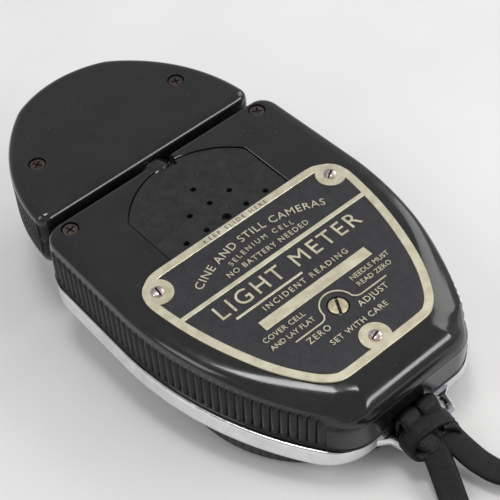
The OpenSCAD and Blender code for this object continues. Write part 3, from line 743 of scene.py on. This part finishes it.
def add_case_back():
    base = case_ring(0)
    n = len(base)
    ribs = rib_phase(LOW_N, CASE_RIBS, n)
    soft = [ease(-y, 28, 57) for x, y in base]     # the edge broadens towards the lace end
    sag = [2.6 * ease(-y, 53, 57.5) for x, y in base]
    drop = [1.9 + 1.0 * s + d for s, d in zip(soft, sag)]
    rings = rounded_edge(lambda inset: case_ring(0.42 * ease(-inset, -1.5, 0), inset), 1.5, 6.2, drop, BACK_Z, soft)
    worn = [0.0] * (n * len(rings))
    for z, grey, ribbed in ((14.5, 0.1, 0.0), (14.3, 0.4, 0.4), (14.05, 0.8, 0.8), (13.7, 1, 1), (13.1, 1, 1),
                            (10, 1, 1), (7, 1, 1), (5.5, 1, 1), (5.3, 1, 0.2), (5.1, 0.6, 0)):
        flare = 0.42 + 0.13 * ease(14.5 - z, -0.2, 1.1)
        ring = case_ring(flare)
        offsets = []
        for (x, y), u in zip(ring, ribs):
            side = ease(y, -54.5, -53) * (1 - ease(y, 20.5, 21.5))
            crest = 1 if u is None else abs(math.sin(math.pi * u)) ** 0.7
            offsets.append(0.08 - RIB_DEPTH * (1 - crest) * ribbed * side)
        heights = [z - d * max(0, z - 5.5) / 9 for d in sag]
        rings.append(moved(ring, outward(ring), offsets, heights))
        worn += [grey * ease(y, -60, -52) for x, y in ring]
    ring = case_ring(0.55)
    normals = outward(ring)
    for by, z in ((0.25, 5.0), (0.25, 4.6), (0.05, 4.5), (-2.0, 4.5), (-2.0, 6.0)):
        rings.append(moved(ring, normals, by, z))
        worn += [1.0] * n
    rings.append([(x, y, 15.4) for x, y in case_ring(0.1, 5.2)])
    worn += [0.0] * n
    verts, faces = loft(rings)
    piece = make("rear_case_moulding", verts, faces, "case", "bakelite", "bakelite", ("rear_case",), worn=worn)
    pocket = slide_outline(0.22)
    cut(piece, [box(-19.5, 19.5, -16.5, 18, 13.2, 15.6)], "UNION")
    cut(piece, [
        loft([[(x, y, 16.2) for x, y in pocket], [(x, y, 17.38) for x, y in pocket],
              [(x, y, 17.7) for x, y in slide_outline(0.5)]]),
        box(-17.6, 17.6, -14.3, -2.6, 14.9, 17.0),
        collar_notch(),
        swivel_bore(5.55, 18, 27),
        round_hole(0, -35.9, 2.5, 16.0, 18),
        *[round_hole(s * 27.9, 21.1, 2.1, 15.6, 17.8, 40, 0.25) for s in (-1, 1)]])
    soften(piece, 32)
    piece.data.materials.clear()
    piece.data.materials.append(FINISHES["bakelite"])


def collar_notch():
    """The hollow moulded over the swivel collar, open at the case's end."""
    rings = []
    for grow, z in ((0, 14.3), (0, 17.1), (0.3, 17.55), (0.5, 17.8)):
        rings.append([(x, y, z) for x, y in
                      [(3.5 + grow, 26), (-3.5 - grow, 26)]
                      + arc((-2.0, 23.5), 1.5 + grow, 180, 270, 6) + arc((2.0, 23.5), 1.5 + grow, 270, 360, 6)])
    return loft(rings)


def slide_outline(grow):
    """The perforated slide's outline: straight sides under a wide arch, and a thumb notch's worth of top."""
    half, r, cy, low = 17.3 + grow, 21.5 + grow, 0.7, -14 - grow
    a = math.degrees(math.acos(half / r))
    return [(-half, low), (half, low)] + arc((0, cy), r, a, 180 - a, 28)


def add_slide():
    top = BACK_Z - 0.3
    verts, faces = prism(slide_outline(0), top - 0.9, top, 0.12)
    piece = make("perforated_slide_plate", verts, faces, "slide", "slide", "slide", ("perforated_slide",))
    pitch = 5.84
    holes = [(i * pitch, row * pitch, 1.1 if row == 0 and i == 0 else 0.72)
             for row, reach in ((2, 0), (1, 1), (0, 2), (-1, 1), (-2, 0)) for i in range(-reach, reach + 1)]
    cut(piece, [round_hole(x, y, r, top - 1.2, top + 0.1, 28, 0.14) for x, y, r in holes]
        + [box(-3, 3, 20.7, 24, 15, 19)])
    soften(piece, 32)
    piece.data.materials.clear()
    piece.data.materials.append(FINISHES["slide"])


def add_bezel():
    rings = []
    for flare, by, z in ((0.50, -2.2, 4.25), (0.60, -0.6, 4.25), (0.66, -0.1, 4.4), (0.72, 0.0, 4.42),
                         (0.80, 0.0, 4.25), (0.84, 0.0, 3.95), (0.86, 0, 3.4), (0.90, 0, 2.6), (0.96, 0, 1.9),
                         (1, 0, 1.3), (1, -0.05, 0.9), (1, -0.3, 0.5), (1, -0.8, 0.2), (1, -1.6, 0.03), (1, -2.6, 0)):
        ring = case_ring(flare)
        rings.append(moved(ring, outward(ring), by, z))
    ring = case_ring(0.6)
    inner = [moved(ring, outward(ring), -2.4, z) for z in (1.4, 4.2)]
    verts, faces = loft(inner + rings)
    piece = make("front_bezel_plated", verts, faces, "case", "chrome", "chrome", ("front_bezel",))
    cut(piece, [prism(sector(33, 47.5, 27), -1, 3), swivel_bore(5.55, 20, 27)])
    soften(piece, 32)
    piece.data.materials.clear()
    piece.data.materials.append(FINISHES["chrome"])


def sector(r0, r1, half, steps=28, centre=(0, DIAL_Y)):
    """Part of a ring about the dial's centre, symmetrical about +y."""
    return arc(centre, r1, 90 - half, 90 + half, steps) + arc(centre, r0, 90 + half, 90 - half, steps)


def add_lug():
    """The chrome ear at the lace end: a bar on two feet that run into the rim."""
    half = [(0, -64.2)] + arc((6.4, -62.8), 1.4, -90, -25, 6) + [(8.6, -60.4), (11.4, -58.4)]
    outline = [(-x, y) for x, y in reversed(half[1:])] + half
    piece = make("strap_lug_plated", *prism(outline, 0.8, 3.0, 0.45), "case", "chrome", "chrome", ("strap_lug",))
    slot = arc((5.4, -61.0), 1.4, -90, 90, 8) + arc((-5.4, -61.0), 1.4, 90, 270, 8)
    cut(piece, [loft([[(x, y, z) for x, y in shrunk(slot, -g)] for g, z in
                      ((0.5, 0.6), (0.5, 0.8), (0, 1.3), (0, 2.5), (0.5, 3.0), (0.5, 3.3))])])
    soften(piece, 40)
    piece.data.materials.clear()
    piece.data.materials.append(FINISHES["chrome"])


# ---------------------------------------------------------------- nameplate and screws

PLATE_Z = BACK_Z + 0.26    # the black field
RELIEF_Z = BACK_Z + 0.5    # the raised gold border and letters
PLATE_SCREWS = [(-25.4, -7), (25.4, -7), (0, -47)]
CORNER_SCREWS = [(-27.9, 21.1), (27.9, 21.1)]
HEAD_SCREWS = [(-21, 43.5), (21, 43.5)]
ZERO_Y = -35.9


def shield(grow):
    """The nameplate's outline, anticlockwise from its lower middle; grow below 0 insets it."""
    half = [(12, -50.6), (14, -49.8), (16.4, -47.8), (18.9, -44.4), (21.1, -40.6), (23.2, -35.9), (25.7, -28.6),
            (27.6, -21.3), (28.7, -15), (29.3, -9.3), (28.9, -6.6), (27.8, -4.6), (25.6, -2.9), (22.8, -2.0)]
    curve = smooth_line([(x, y, 0) for x, y in [(0, -50.8), (8, -50.8)] + half + [(16, -1.9), (0, -1.9)]], 0.8)
    right = [(p.x, p.y) for p in curve]
    outline = right + [(-x, y) for x, y in reversed(right[1:-1])]
    return shrunk(outline, -grow) if grow else outline


def lettering(words, x, y, height, face="plain", bend=None, turn=0.0, spread=1.0):
    """Words in the built-in typeface as (verts, faces) of a flat outline in the plane z = 0, centred at x, y."""
    curve = bpy.data.curves.new("letters", "FONT")
    curve.body = words
    curve.size = height / 0.73
    curve.align_x = "CENTER"
    curve.space_character = spread
    curve.resolution_u = 3
    carrier = bpy.data.objects.new("letters", curve)
    bpy.context.scene.collection.objects.link(carrier)
    flat = bpy.data.meshes.new_from_object(carrier.evaluated_get(bpy.context.evaluated_depsgraph_get()))
    bpy.data.objects.remove(carrier)
    verts = []
    for v in flat.vertices:
        u, w = v.co.x, v.co.y
        if bend:
            a = u / bend
            u, w = (bend + w) * math.sin(a), (bend + w) * math.cos(a) - bend
        c, s_ = math.cos(math.radians(turn)), math.sin(math.radians(turn))
        verts.append((x + c * u - s_ * w, y + s_ * u + c * w, 0.0))
    faces = [tuple(p.vertices) for p in flat.polygons]
    bpy.data.meshes.remove(flat)
    return verts, faces


def raised(flat, z0, z1, mirror=False):
    """Solid letters from a flat outline, with their walls."""
    verts, faces = flat
    if mirror:
        verts = [(-x, y, z) for x, y, z in verts]
    n = len(verts)
    edges = {}
    for face in faces:
        for a, b in zip(face, face[1:] + face[:1]):
            edges[(a, b)] = True
    walls = [(a, b, b + n, a + n) for a, b in edges if (b, a) not in edges]
    top = [(x, y, z1) for x, y, z in verts]
    low = [(x, y, z0) for x, y, z in verts]
    return top + low, faces + [tuple(k + n for k in reversed(face)) for face in faces] + [
        (b, a, a + n, b + n) for a, b, _, _ in walls]


def bar(x0, x1, y0, y1, z0=PLATE_Z - 0.05, z1=RELIEF_Z):
    return prism([(x0, y0), (x1, y0), (x1, y1), (x0, y1)], z0, z1, min(0.05, (y1 - y0) / 4))


def zero_line():
    """The thin raised line that crosses the plate and arches over the zero screw."""
    over = arc((0, ZERO_Y), 4.0, 180, 0, 24)
    left = [(-13.1, -37.0), (-5.6, -37.0), (-4.7, -36.7)]
    line = left + over + [(-x, y) for x, y in reversed(left)]
    half = 0.16
    n = len(line)
    sides = []
    for i, (x, y) in enumerate(line):
        (x0, y0), (x1, y1) = line[max(i - 1, 0)], line[min(i + 1, n - 1)]
        d = math.hypot(x1 - x0, y1 - y0)
        sides.append(((y0 - y1) / d * half, (x1 - x0) / d * half))
    upper = [(x + u, y + v) for (x, y), (u, v) in zip(line, sides)]
    lower = [(x - u, y - v) for (x, y), (u, v) in zip(line, sides)]
    return prism(lower + upper[::-1], PLATE_Z - 0.05, RELIEF_Z - 0.02)


def add_nameplate():
    field = make("nameplate_field", *prism(shield(-0.5), BACK_Z, PLATE_Z, 0.04), "case", "plate_black", "plate",
                 ("nameplate",))
    holes = [round_hole(x, y, 0.85, 17, 18.6, 24) for x, y in PLATE_SCREWS]
    holes.append(round_hole(0, ZERO_Y, 2.55, 17, 18.6, 48))
    cut(field, holes)
    redress(field, "plate_black")
    rim = make("nameplate_border", *prism(shield(0), BACK_Z, RELIEF_Z, 0.12), "case", "gold", "plate")
    cut(rim, [loft([[(x, y, z) for x, y in shield(-2.05 + g)] for g, z in ((0, 17.3), (0, 17.9), (0.14, 18.05))])])
    for lobe in [round_hole(x, y, 3.55, BACK_Z + 0.02, RELIEF_Z - 0.01, 48) for x, y in PLATE_SCREWS]:
        cut(rim, [lobe], "UNION")
    cut(rim, [bar(-28.0, 28.0, -17.0, -15.9, BACK_Z + 0.02, RELIEF_Z - 0.015)], "UNION")
    cut(rim, [prism(shield(-0.02), 17.2, 18.4)], "INTERSECT")
    cut(rim, holes[:3])
    redress(rim, "gold")
    relief = [bar(-18.0, 0.7, -24.3, -23.75), bar(-15.4, 15.3, -30.6, -27.9), zero_line()]
    for words, x, y, height, face, bend, spread in (
            ("CINE AND STILL CAMERAS", 0, -8.6, 2.1, "plain", 39, 1.12),
            ("SELENIUM CELL", 0, -11.4, 1.35, "plain", 39, 1.5),
            ("NO BATTERY NEEDED", 0, -14.6, 1.45, "plain", None, 1.22),
            ("LIGHT METER", 0, -22.4, 4.2, "bold", None, 1.22),
            ("INCIDENT READING", 0, -26.7, 1.5, "plain", None, 1.35),
            ("COVER CELL", -12.3, -33.1, 1.35, "plain", None, 1.1), ("AND LAY FLAT", -12.0, -35.5, 1.3, "plain", None, 1.0),
            ("NEEDLE MUST", 12.5, -33.1, 1.3, "plain", None, 1.0), ("READ ZERO", 11.8, -35.3, 1.3, "plain", None, 1.05),
            ("ZERO", -8.2, -39.5, 1.6, "plain", None, 1.2), ("ADJUST", 7.4, -39.5, 1.6, "plain", None, 1.15),
            ("SET WITH CARE", 0, -42.9, 1.45, "plain", None, 1.15)):
        shape = lettering(words, x, y, height, face, bend, 0.0, spread)
        relief.append(raised(shape, PLATE_Z - 0.05, RELIEF_Z - 0.03))
    make("nameplate_relief", *merged(*relief), "case", "gold", "plate")
    small = raised(lettering("KEEP SLIDE HERE", 0, -3.55, 1.15, spread=1.6), RELIEF_Z - 0.05, RELIEF_Z + 0.02)
    make("nameplate_small_words", *small, "case", "ink_black", "plate")


def redress(piece, finish):
    """Sets a piece's shading and finish again after cuts."""
    soften(piece, 32)
    piece.data.materials.clear()
    piece.data.materials.append(FINISHES[finish])


def add_plate_screws():
    """Domed, slotted screws whose slots stand at different angles, with a near-black bar of painted shade low in each
    slot.
    """
    shapes, grime_and_slot_shade = [], []
    top = RELIEF_Z + 0.62
    for (x, y), turn in zip(PLATE_SCREWS, (82, 28, 14)):
        head = [(0.8, BACK_Z - 2.0), (0.8, RELIEF_Z), (1.45, RELIEF_Z), (1.5, RELIEF_Z + 0.12), (1.44, RELIEF_Z + 0.3),
                (1.22, RELIEF_Z + 0.46), (0.85, top - 0.06), (0.4, top - 0.01), (0.0, top)]
        head = [(0.0, BACK_Z - 2.0)] + head
        one = make("screw", *turned(head, 48, (x, y, 0)), "case", "nickel", "nickel_screw")
        cut(one, [slot_cutter(x, y, 1.7, 0.25, top - 0.5, top + 0.2, turn)])
        shapes.append(one)
        # a near-black bar low in each slot: painted shade, standing in for the shade that falls into the slot
        grime_and_slot_shade.append(slot_cutter(x, y, 1.2, 0.235, top - 0.52, top - 0.34, turn))
    join(shapes, "nameplate_screws_slotted", "nickel", ("nameplate_screws",))
    # the slot bars, in the near-black pocket finish, are painted shade in the slots
    make("nameplate_screw_slot_shade", *merged(*grime_and_slot_shade), "case", "pocket", "nickel_screw")


def slot_cutter(x, y, half, wide, z0, z1, turn):
    c, s = math.cos(math.radians(turn)), math.sin(math.radians(turn))
    corners = [(x + c * u - s * v, y + s * u + c * v)
               for u, v in ((-half, -wide), (half, -wide), (half, wide), (-half, wide))]
    return prism(corners, z0, z1)


def join(pieces, name, finish, replaced):
    """Joins pieces of one body into the first."""
    first = pieces[0]
    work = bmesh.new()
    for piece in pieces:
        work.from_mesh(piece.data)
    work.to_mesh(first.data)
    work.free()
    for piece in pieces[1:]:
        bpy.data.objects.remove(piece)
    first.name = name
    first.data.name = name
    redress(first, finish)
    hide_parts(*replaced)
    return first


def cross_head(x, y, r, top, thick, shank_r, low, turn):
    """A countersunk-style cheese head with a Phillips cross."""
    profile = [(0.0, low), (shank_r, low), (shank_r, top - thick), (r, top - thick), (r, top - 0.16),
               (r - 0.14, top - 0.02), (r * 0.55, top), (0.0, top)]
    one = make("screw", *turned(profile, 48, (x, y, 0)), "case", "dark_screw", "dark_screw")
    cut(one, [slot_cutter(x, y, r * 0.62, 0.2, top - 0.7, top + 0.2, turn),
              slot_cutter(x, y, r * 0.62, 0.2, top - 0.7, top + 0.2, turn + 90)])
    return one


def add_dark_screws():
    top = BACK_Z - 0.3
    corner = [cross_head(x, y, 1.9, top, 1.2, 0.95, 4.0, turn) for (x, y), turn in zip(CORNER_SCREWS, (14, 52))]
    join(corner, "case_screws_phillips", "dark_screw", ("case_screws",))
    head = [cross_head(x, y, 1.9, 16.7, 1.0, 1.05, 9.5, turn) for (x, y), turn in zip(HEAD_SCREWS, (33, 68))]
    joined = join(head, "head_screws_phillips", "dark_screw", ("head_screws",))
    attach(joined, "head")


def add_zero_screw():
    top = BACK_Z + 0.42
    profile = [(0.0, BACK_Z - 2.8), (1.45, BACK_Z - 2.8), (1.45, BACK_Z - 1.1), (2.15, BACK_Z - 1.1), (2.2, BACK_Z - 0.9),
               (2.2, top - 0.22), (2.05, top - 0.05), (1.6, top), (0.0, top)]
    piece = make("zero_screw_slotted", *turned(profile, 64, (0, ZERO_Y, 0)), "zero_screw", "brass_screw", "brass",
                 ("zero_adjust_screw",))
    cut(piece, [slot_cutter(0, ZERO_Y, 2.5, 0.36, top - 0.52, top + 0.2, 62)])
    redress(piece, "brass_screw")
    # a near-black bar low in the slot: painted shade, standing in for the shade that falls into the slot
    make("zero_screw_slot_shade", *slot_cutter(0, ZERO_Y, 1.95, 0.345, top - 0.54, top - 0.34, 62), "zero_screw",
         "pocket", "brass")


# ---------------------------------------------------------------- swivel and head

HEAD_Y0, HEAD_Y1 = 27.4, 65.5
HEAD_SPLIT_Z = 9.2
HEAD_RIBS = 13
HEAD_LOW_N, HEAD_END_N = 34, 110


def head_runs(inset=0.0):
    """The right half of the head's outline: its straight end at the gap, the ribbed side, then the far end."""
    cx, cy, r = -12.06, 27.1, 43.5 - inset
    low_r = max(0.7, 2.8 - inset)
    y_low = HEAD_Y0 + inset + low_r
    a0 = math.degrees(math.asin((y_low - cy) / r))
    x_low = cx + r * math.cos(math.radians(a0))
    low = [(0, HEAD_Y0 + inset)] + arc((x_low - low_r, y_low), low_r, -90, 0, 10)
    side = arc((cx, cy), r, a0, 30, 40)
    end = arc((cx, cy), r, 30, 53, 30) + arc((0, HEAD_Y1 - 30), 30 - inset, 64, 90, 20)
    return low, side, end


def head_ring(inset=0.0):
    low, side, end = head_runs(inset)
    half = even(low, HEAD_LOW_N) + even(side, HEAD_RIBS * RIB_STEPS) + even(end, HEAD_END_N)
    return whole_ring(half, (0, HEAD_Y1 - inset))


def head_wall(ring, normals, ribs, levels):
    """Rings of the head's wall; levels are (z, outward offset, grey, how deep the ribs are)."""
    rings, worn = [], []
    for z, by, grey, deep in levels:
        offsets = []
        for (x, y), u in zip(ring, ribs):
            here = ease(y, 28.6, 29.6) * (1 - ease(y, 43.5, 46))
            crest = 1 if u is None else abs(math.sin(math.pi * u)) ** 0.7
            offsets.append(by - RIB_DEPTH * (1 - crest) * deep * here)
        rings.append(moved(ring, normals, offsets, z))
        worn += [grey] * len(ring)
    return rings, worn


def add_head():
    ring = head_ring()
    normals = outward(ring)
    ribs = rib_phase(HEAD_LOW_N, HEAD_RIBS, len(ring))
    back = rounded_edge(head_ring, 2.2, 2.2, [1.9] * len(ring), 17.0, [0.0] * len(ring))
    worn = [0.0] * (len(ring) * len(back))
    walls, greys = head_wall(ring, normals, ribs, (
        (14.9, 0.0, 0.2, 0.0), (14.6, 0.03, 0.6, 0.3), (14.2, 0.05, 1.0, 0.8), (13.6, 0.05, 1, 1), (11.5, 0.05, 1, 1),
        (9.6, 0.05, 1, 1), (9.45, 0.02, 1, 0.6), (9.3, -0.15, 0.6, 0.3), (9.22, -0.3, 0.4, 0.0),
        (9.22, -2.2, 0, 0), (14.6, -2.4, 0, 0)))
    verts, faces = loft(back + walls)
    piece = make("head_back_moulding", verts, faces, "head", "bakelite", "bakelite", ("head_back_shell",),
                 worn=worn + greys)
    collar = swivel_bore(5.85, 20, 29.75)
    cut(piece, [round_hole(x, y, 2.1, 15.2, 17.3, 40, 0.25) for x, y in HEAD_SCREWS] + [collar])
    redress(piece, "bakelite")
    front, greys = head_wall(ring, normals, ribs, (
        (9.18, -1.5, 0, 0), (9.18, -0.3, 0.4, 0.0), (9.1, -0.15, 0.6, 0.3), (8.95, 0.02, 1, 0.6), (8.8, 0.05, 1, 1),
        (6.5, 0.05, 1, 1), (4.6, 0.05, 1, 1), (4.2, 0.03, 0.8, 0.5), (3.9, 0.0, 0.4, 0.0), (3.2, -0.05, 0, 0),
        (2.6, -0.15, 0, 0), (2.1, -0.45, 0, 0), (1.75, -0.85, 0, 0), (1.5, -1.4, 0, 0)))
    inner, more = head_wall(ring, normals, ribs, ((3.6, -1.5, 0, 0),))
    around = [math.atan2(y - DOME_Y, x) for x, y in ring]
    hole = [[(16.45 * math.cos(a), DOME_Y + 16.45 * math.sin(a), z) for a in around] for z in (1.5, 3.6)]
    verts, faces = loft(hole + inner + front, closed=True)
    piece = make("head_front_moulding", verts, faces, "head", "bakelite", "bakelite", ("head_front_shell",),
                 worn=[0.0] * (2 * len(ring)) + more + greys)
    cut(piece, [collar])
    redress(piece, "bakelite")


def add_collar():
    """The turned collar between case and head, rounded at its end in the case."""
    nose = [(5.5 - 1.9 * (1 - math.cos(math.radians(a))), 24.2 - 1.9 * math.sin(math.radians(a)))
            for a in range(90, -1, -10)]
    profile = [(2.65, 22.3)] + nose + [(5.5, 29.2), (5.3, 29.4), (2.65, 29.4)]
    make("swivel_collar_turned", *turned(profile, 72, (0, 0, SWIVEL_Z), axis="y"), "case", "bakelite", "bakelite",
         ("swivel_collar",))


def add_dome():
    """The white dome, frosted and hollow, in its plated ring with a fine milled edge."""
    outer = [(15 * math.sin(math.radians(a)), 0.5 - 15 * math.cos(math.radians(a))) for a in range(0, 90, 3)]
    inner = [(13.6 * math.sin(math.radians(a)), 0.5 - 13.6 * math.cos(math.radians(a))) for a in range(90, -1, -3)]
    inner[-1] = (0.0, inner[-1][1])
    profile = outer + [(15.0, 0.45), (15.65, 0.5), (15.65, 1.5), (13.6, 1.5)] + inner
    make("diffuser_dome_frosted", *turned(profile, 96, (0, DOME_Y, 0)), "dome", "opal", "opal", ("diffuser_dome",))
    teeth = 90
    steps = 4

    def milled(angle, r, h):
        return 0.16 * (math.cos(angle * teeth) - 1) / 2 if r > 17.2 and -1.0 < h < 0.9 else 0.0

    ring = [(15.05, -1.1), (15.3, -1.3), (16.6, -1.3), (17.1, -1.2), (17.38, -0.98), (17.4, -0.85), (17.4, 0.75),
            (17.3, 0.95), (17.2, 1.1), (16.4, 1.1), (16.4, 3.6), (15.75, 3.6), (15.75, 0.45), (15.05, 0.45)]
    make("dome_ring_milled", *turned(ring, teeth * steps, (0, DOME_Y, 0), milled), "dome", "chrome", "chrome",
         ("dome_ring",), sharp=40)


# ---------------------------------------------------------------- dial side

KNURLS = 96
KNURL_STEPS = 4


def add_dial_ring():
    def knurled(angle, r, h):
        return -0.42 * (1 - abs(math.cos(angle * KNURLS / 2)) ** 0.7) if r > 31.0 and -4.7 < h < -1.3 else 0.0

    profile = [(24.1, -4.75), (24.4, -5.0), (29.6, -5.0), (30.6, -4.92), (31.15, -4.72), (31.3, -4.5), (31.3, -3.6),
               (31.3, -2.4), (31.3, -1.45), (31.1, -1.22), (30.6, -1.2), (26.65, -1.2), (26.65, -2.55), (24.1, -2.55)]
    make("dial_ring_knurled", *turned(profile, KNURLS * KNURL_STEPS, (0, DIAL_Y, 0), knurled), "ring", "dial_black",
         "dial_black", ("dial_ring",), sharp=40)
    marks = []
    for k in range(48):
        long = k % 6 == 0
        marks.append(tick(k * 7.5, 25.0 if long else 26.0, 27.0, 0.16 if long else 0.1, -5.03, -4.97))
    for k, words in enumerate(("1", "2", "4", "8", "15", "30", "60", "125")):
        marks.append(ring_word(words, 45 * k, 28.2, 1.5, -5.03, -4.97))
    make("dial_ring_figures", *merged(*marks), "ring", "ink_white", "dial_black")


def tick(angle, r0, r1, half, z0, z1):
    """A thin radial mark about the dial's axis."""
    a = math.radians(angle)
    u, v = math.cos(a), math.sin(a)
    corners = [(r * u - s * half * v, DIAL_Y + r * v + s * half * u) for r, s in ((r0, -1), (r1, -1), (r1, 1), (r0, 1))]
    return prism(corners, z0, z1)


def ring_word(words, angle, r, height, z0, z1):
    """Words on the front side, set round the dial's axis so that they read from the front."""
    a = math.radians(angle)
    verts, faces = raised(lettering(words, 0, 0, height), z0, z1, mirror=True)
    turn = a - math.pi / 2
    c, s = math.cos(turn), math.sin(turn)
    return [(c * x - s * (y + r), DIAL_Y + s * x + c * (y + r), z) for x, y, z in verts], faces


def add_exposure_disc():
    face = [(1.85, -4.2), (22.9, -4.2), (23.4, -4.1), (23.7, -3.85), (23.7, -2.2), (26.2, -2.2), (26.2, -1.3),
            (1.85, -1.3)]
    make("exposure_disc_spun", *turned(face, 128, (0, DIAL_Y, 0)), "disc", "dial_face", "dial_face", ("exposure_disc",))
    marks = [bow_at(17.2, 0.15), bow_at(11.4, 0.12)]
    for k in range(60):
        marks.append(tick(k * 6, 21.6 if k % 5 else 20.6, 22.6, 0.09 if k % 5 else 0.15, -4.23, -4.17))
    for k, words in enumerate(("2", "2.8", "4", "5.6", "8", "11", "16", "22", "32", "45", "64", "90")):
        marks.append(ring_word(words, 30 * k + 6, 18.3, 1.5, -4.23, -4.17))
    for k, words in enumerate(("8", "16", "24", "32", "48", "64")):
        marks.append(ring_word(words, 60 * k, 13.0, 1.6, -4.23, -4.17))
    make("exposure_disc_figures", *merged(*marks), "disc", "ink_black", "dial_face")
    knob = merged(*[tick(a, 5.5, 10.6, 0.7, -4.75, -4.18) for a in (90, 270)])
    make("exposure_disc_finger_bars", *knob, "disc", "dial_face", "dial_face")


def bow_at(r, half):
    """A printed circle about the dial's axis, on the disc's face."""
    return turned([(r - half, -4.23), (r + half, -4.23), (r + half, -4.17), (r - half, -4.17)], 96, (0, DIAL_Y, 0))


def add_dial_hub():
    profile = [(0.0, -5.0), (3.1, -5.0), (3.5, -4.8), (3.5, -4.5), (1.78, -4.5), (1.78, 1.4), (0.0, 1.4)]
    piece = make("dial_hub_slotted", *turned(profile, 64, (0, DIAL_Y, 0)), "case", "nickel", "nickel_screw", ("dial_hub",))
    cut(piece, [slot_cutter(0, DIAL_Y, 3.8, 0.3, -5.2, -4.72, 35)])
    redress(piece, "nickel")


def add_scale():
    """The cream scale behind the window, numbered the way the needle reads."""
    plate = make("scale_plate_printed", *prism(sector(17, 48.2, 32), 3.7, 4.2), "case", "cream", "scale", ("scale_plate",))
    cut(plate, [round_hole(s * 9.15, -9.3, 0.82, 3, 5, 24) for s in (-1, 1)])
    redress(plate, "cream")
    marks = []
    for k in range(41):
        angle = 90 - 22 + 44 * k / 40
        marks.append(tick(angle, 41.0 if k % 4 else 39.8, 43.0, 0.07 if k % 4 else 0.13, 3.67, 3.73))
    for k in range(11):
        marks.append(ring_word(str(k), 90 - 22 + 4.4 * k, 44.2, 1.7, 3.67, 3.73))
    marks.append(ring_word("LIGHT", 90, 35.6, 1.9, 3.67, 3.73))
    marks.append(prism(arc((0, DIAL_Y), 43.12, 68, 112, 40) + arc((0, DIAL_Y), 42.98, 112, 68, 40), 3.67, 3.73))
    make("scale_figures", *merged(*marks), "case", "ink_black", "scale")


# ---------------------------------------------------------------- build


def finish_cad_nodes():
    """Every CAD node still shown takes a finish from the table below."""
    finishes = {
        "crystal": "clear", "needle": "red", "dial_base": "dial_black", "dial_washer": "steel",
        "scale_screws": "nickel", "swivel_shaft": "brass", "shaft_clip": "steel", "selenium_cell": "selenium",
        "cell_contact_ring": "brass", "cell_backing": "fibre", "head_leads": "sleeving", "magnet": "steel",
        "pole_shoes": "steel", "core": "steel", "core_bracket": "brass", "moving_coil": "copper",
        "pivot_staffs": "steel", "hairsprings": "brass", "front_bridge": "brass", "rear_bridge": "brass",
        "jewel_screws": "brass", "calibration_resistor": "fibre", "case_leads": "sleeving", "zero_lever": "brass"}
    for name, finish in finishes.items():
        node = frame["nodes"][name]
        node.data.materials.clear()
        node.data.materials.append(FINISHES[finish])


set_camera()
lug_pieces = add_lug_knot()
add_strand("a", STRAND_A, 180, 1)
add_strand("b", STRAND_B, 0, -1)
add_case_back()
add_slide()
add_bezel()
add_lug()
add_nameplate()
add_plate_screws()
add_dark_screws()
add_zero_screw()
add_collar()
add_head()
add_dome()
add_dial_ring()
add_exposure_disc()
add_dial_hub()
add_scale()
finish_cad_nodes()
set_table()
set_light()
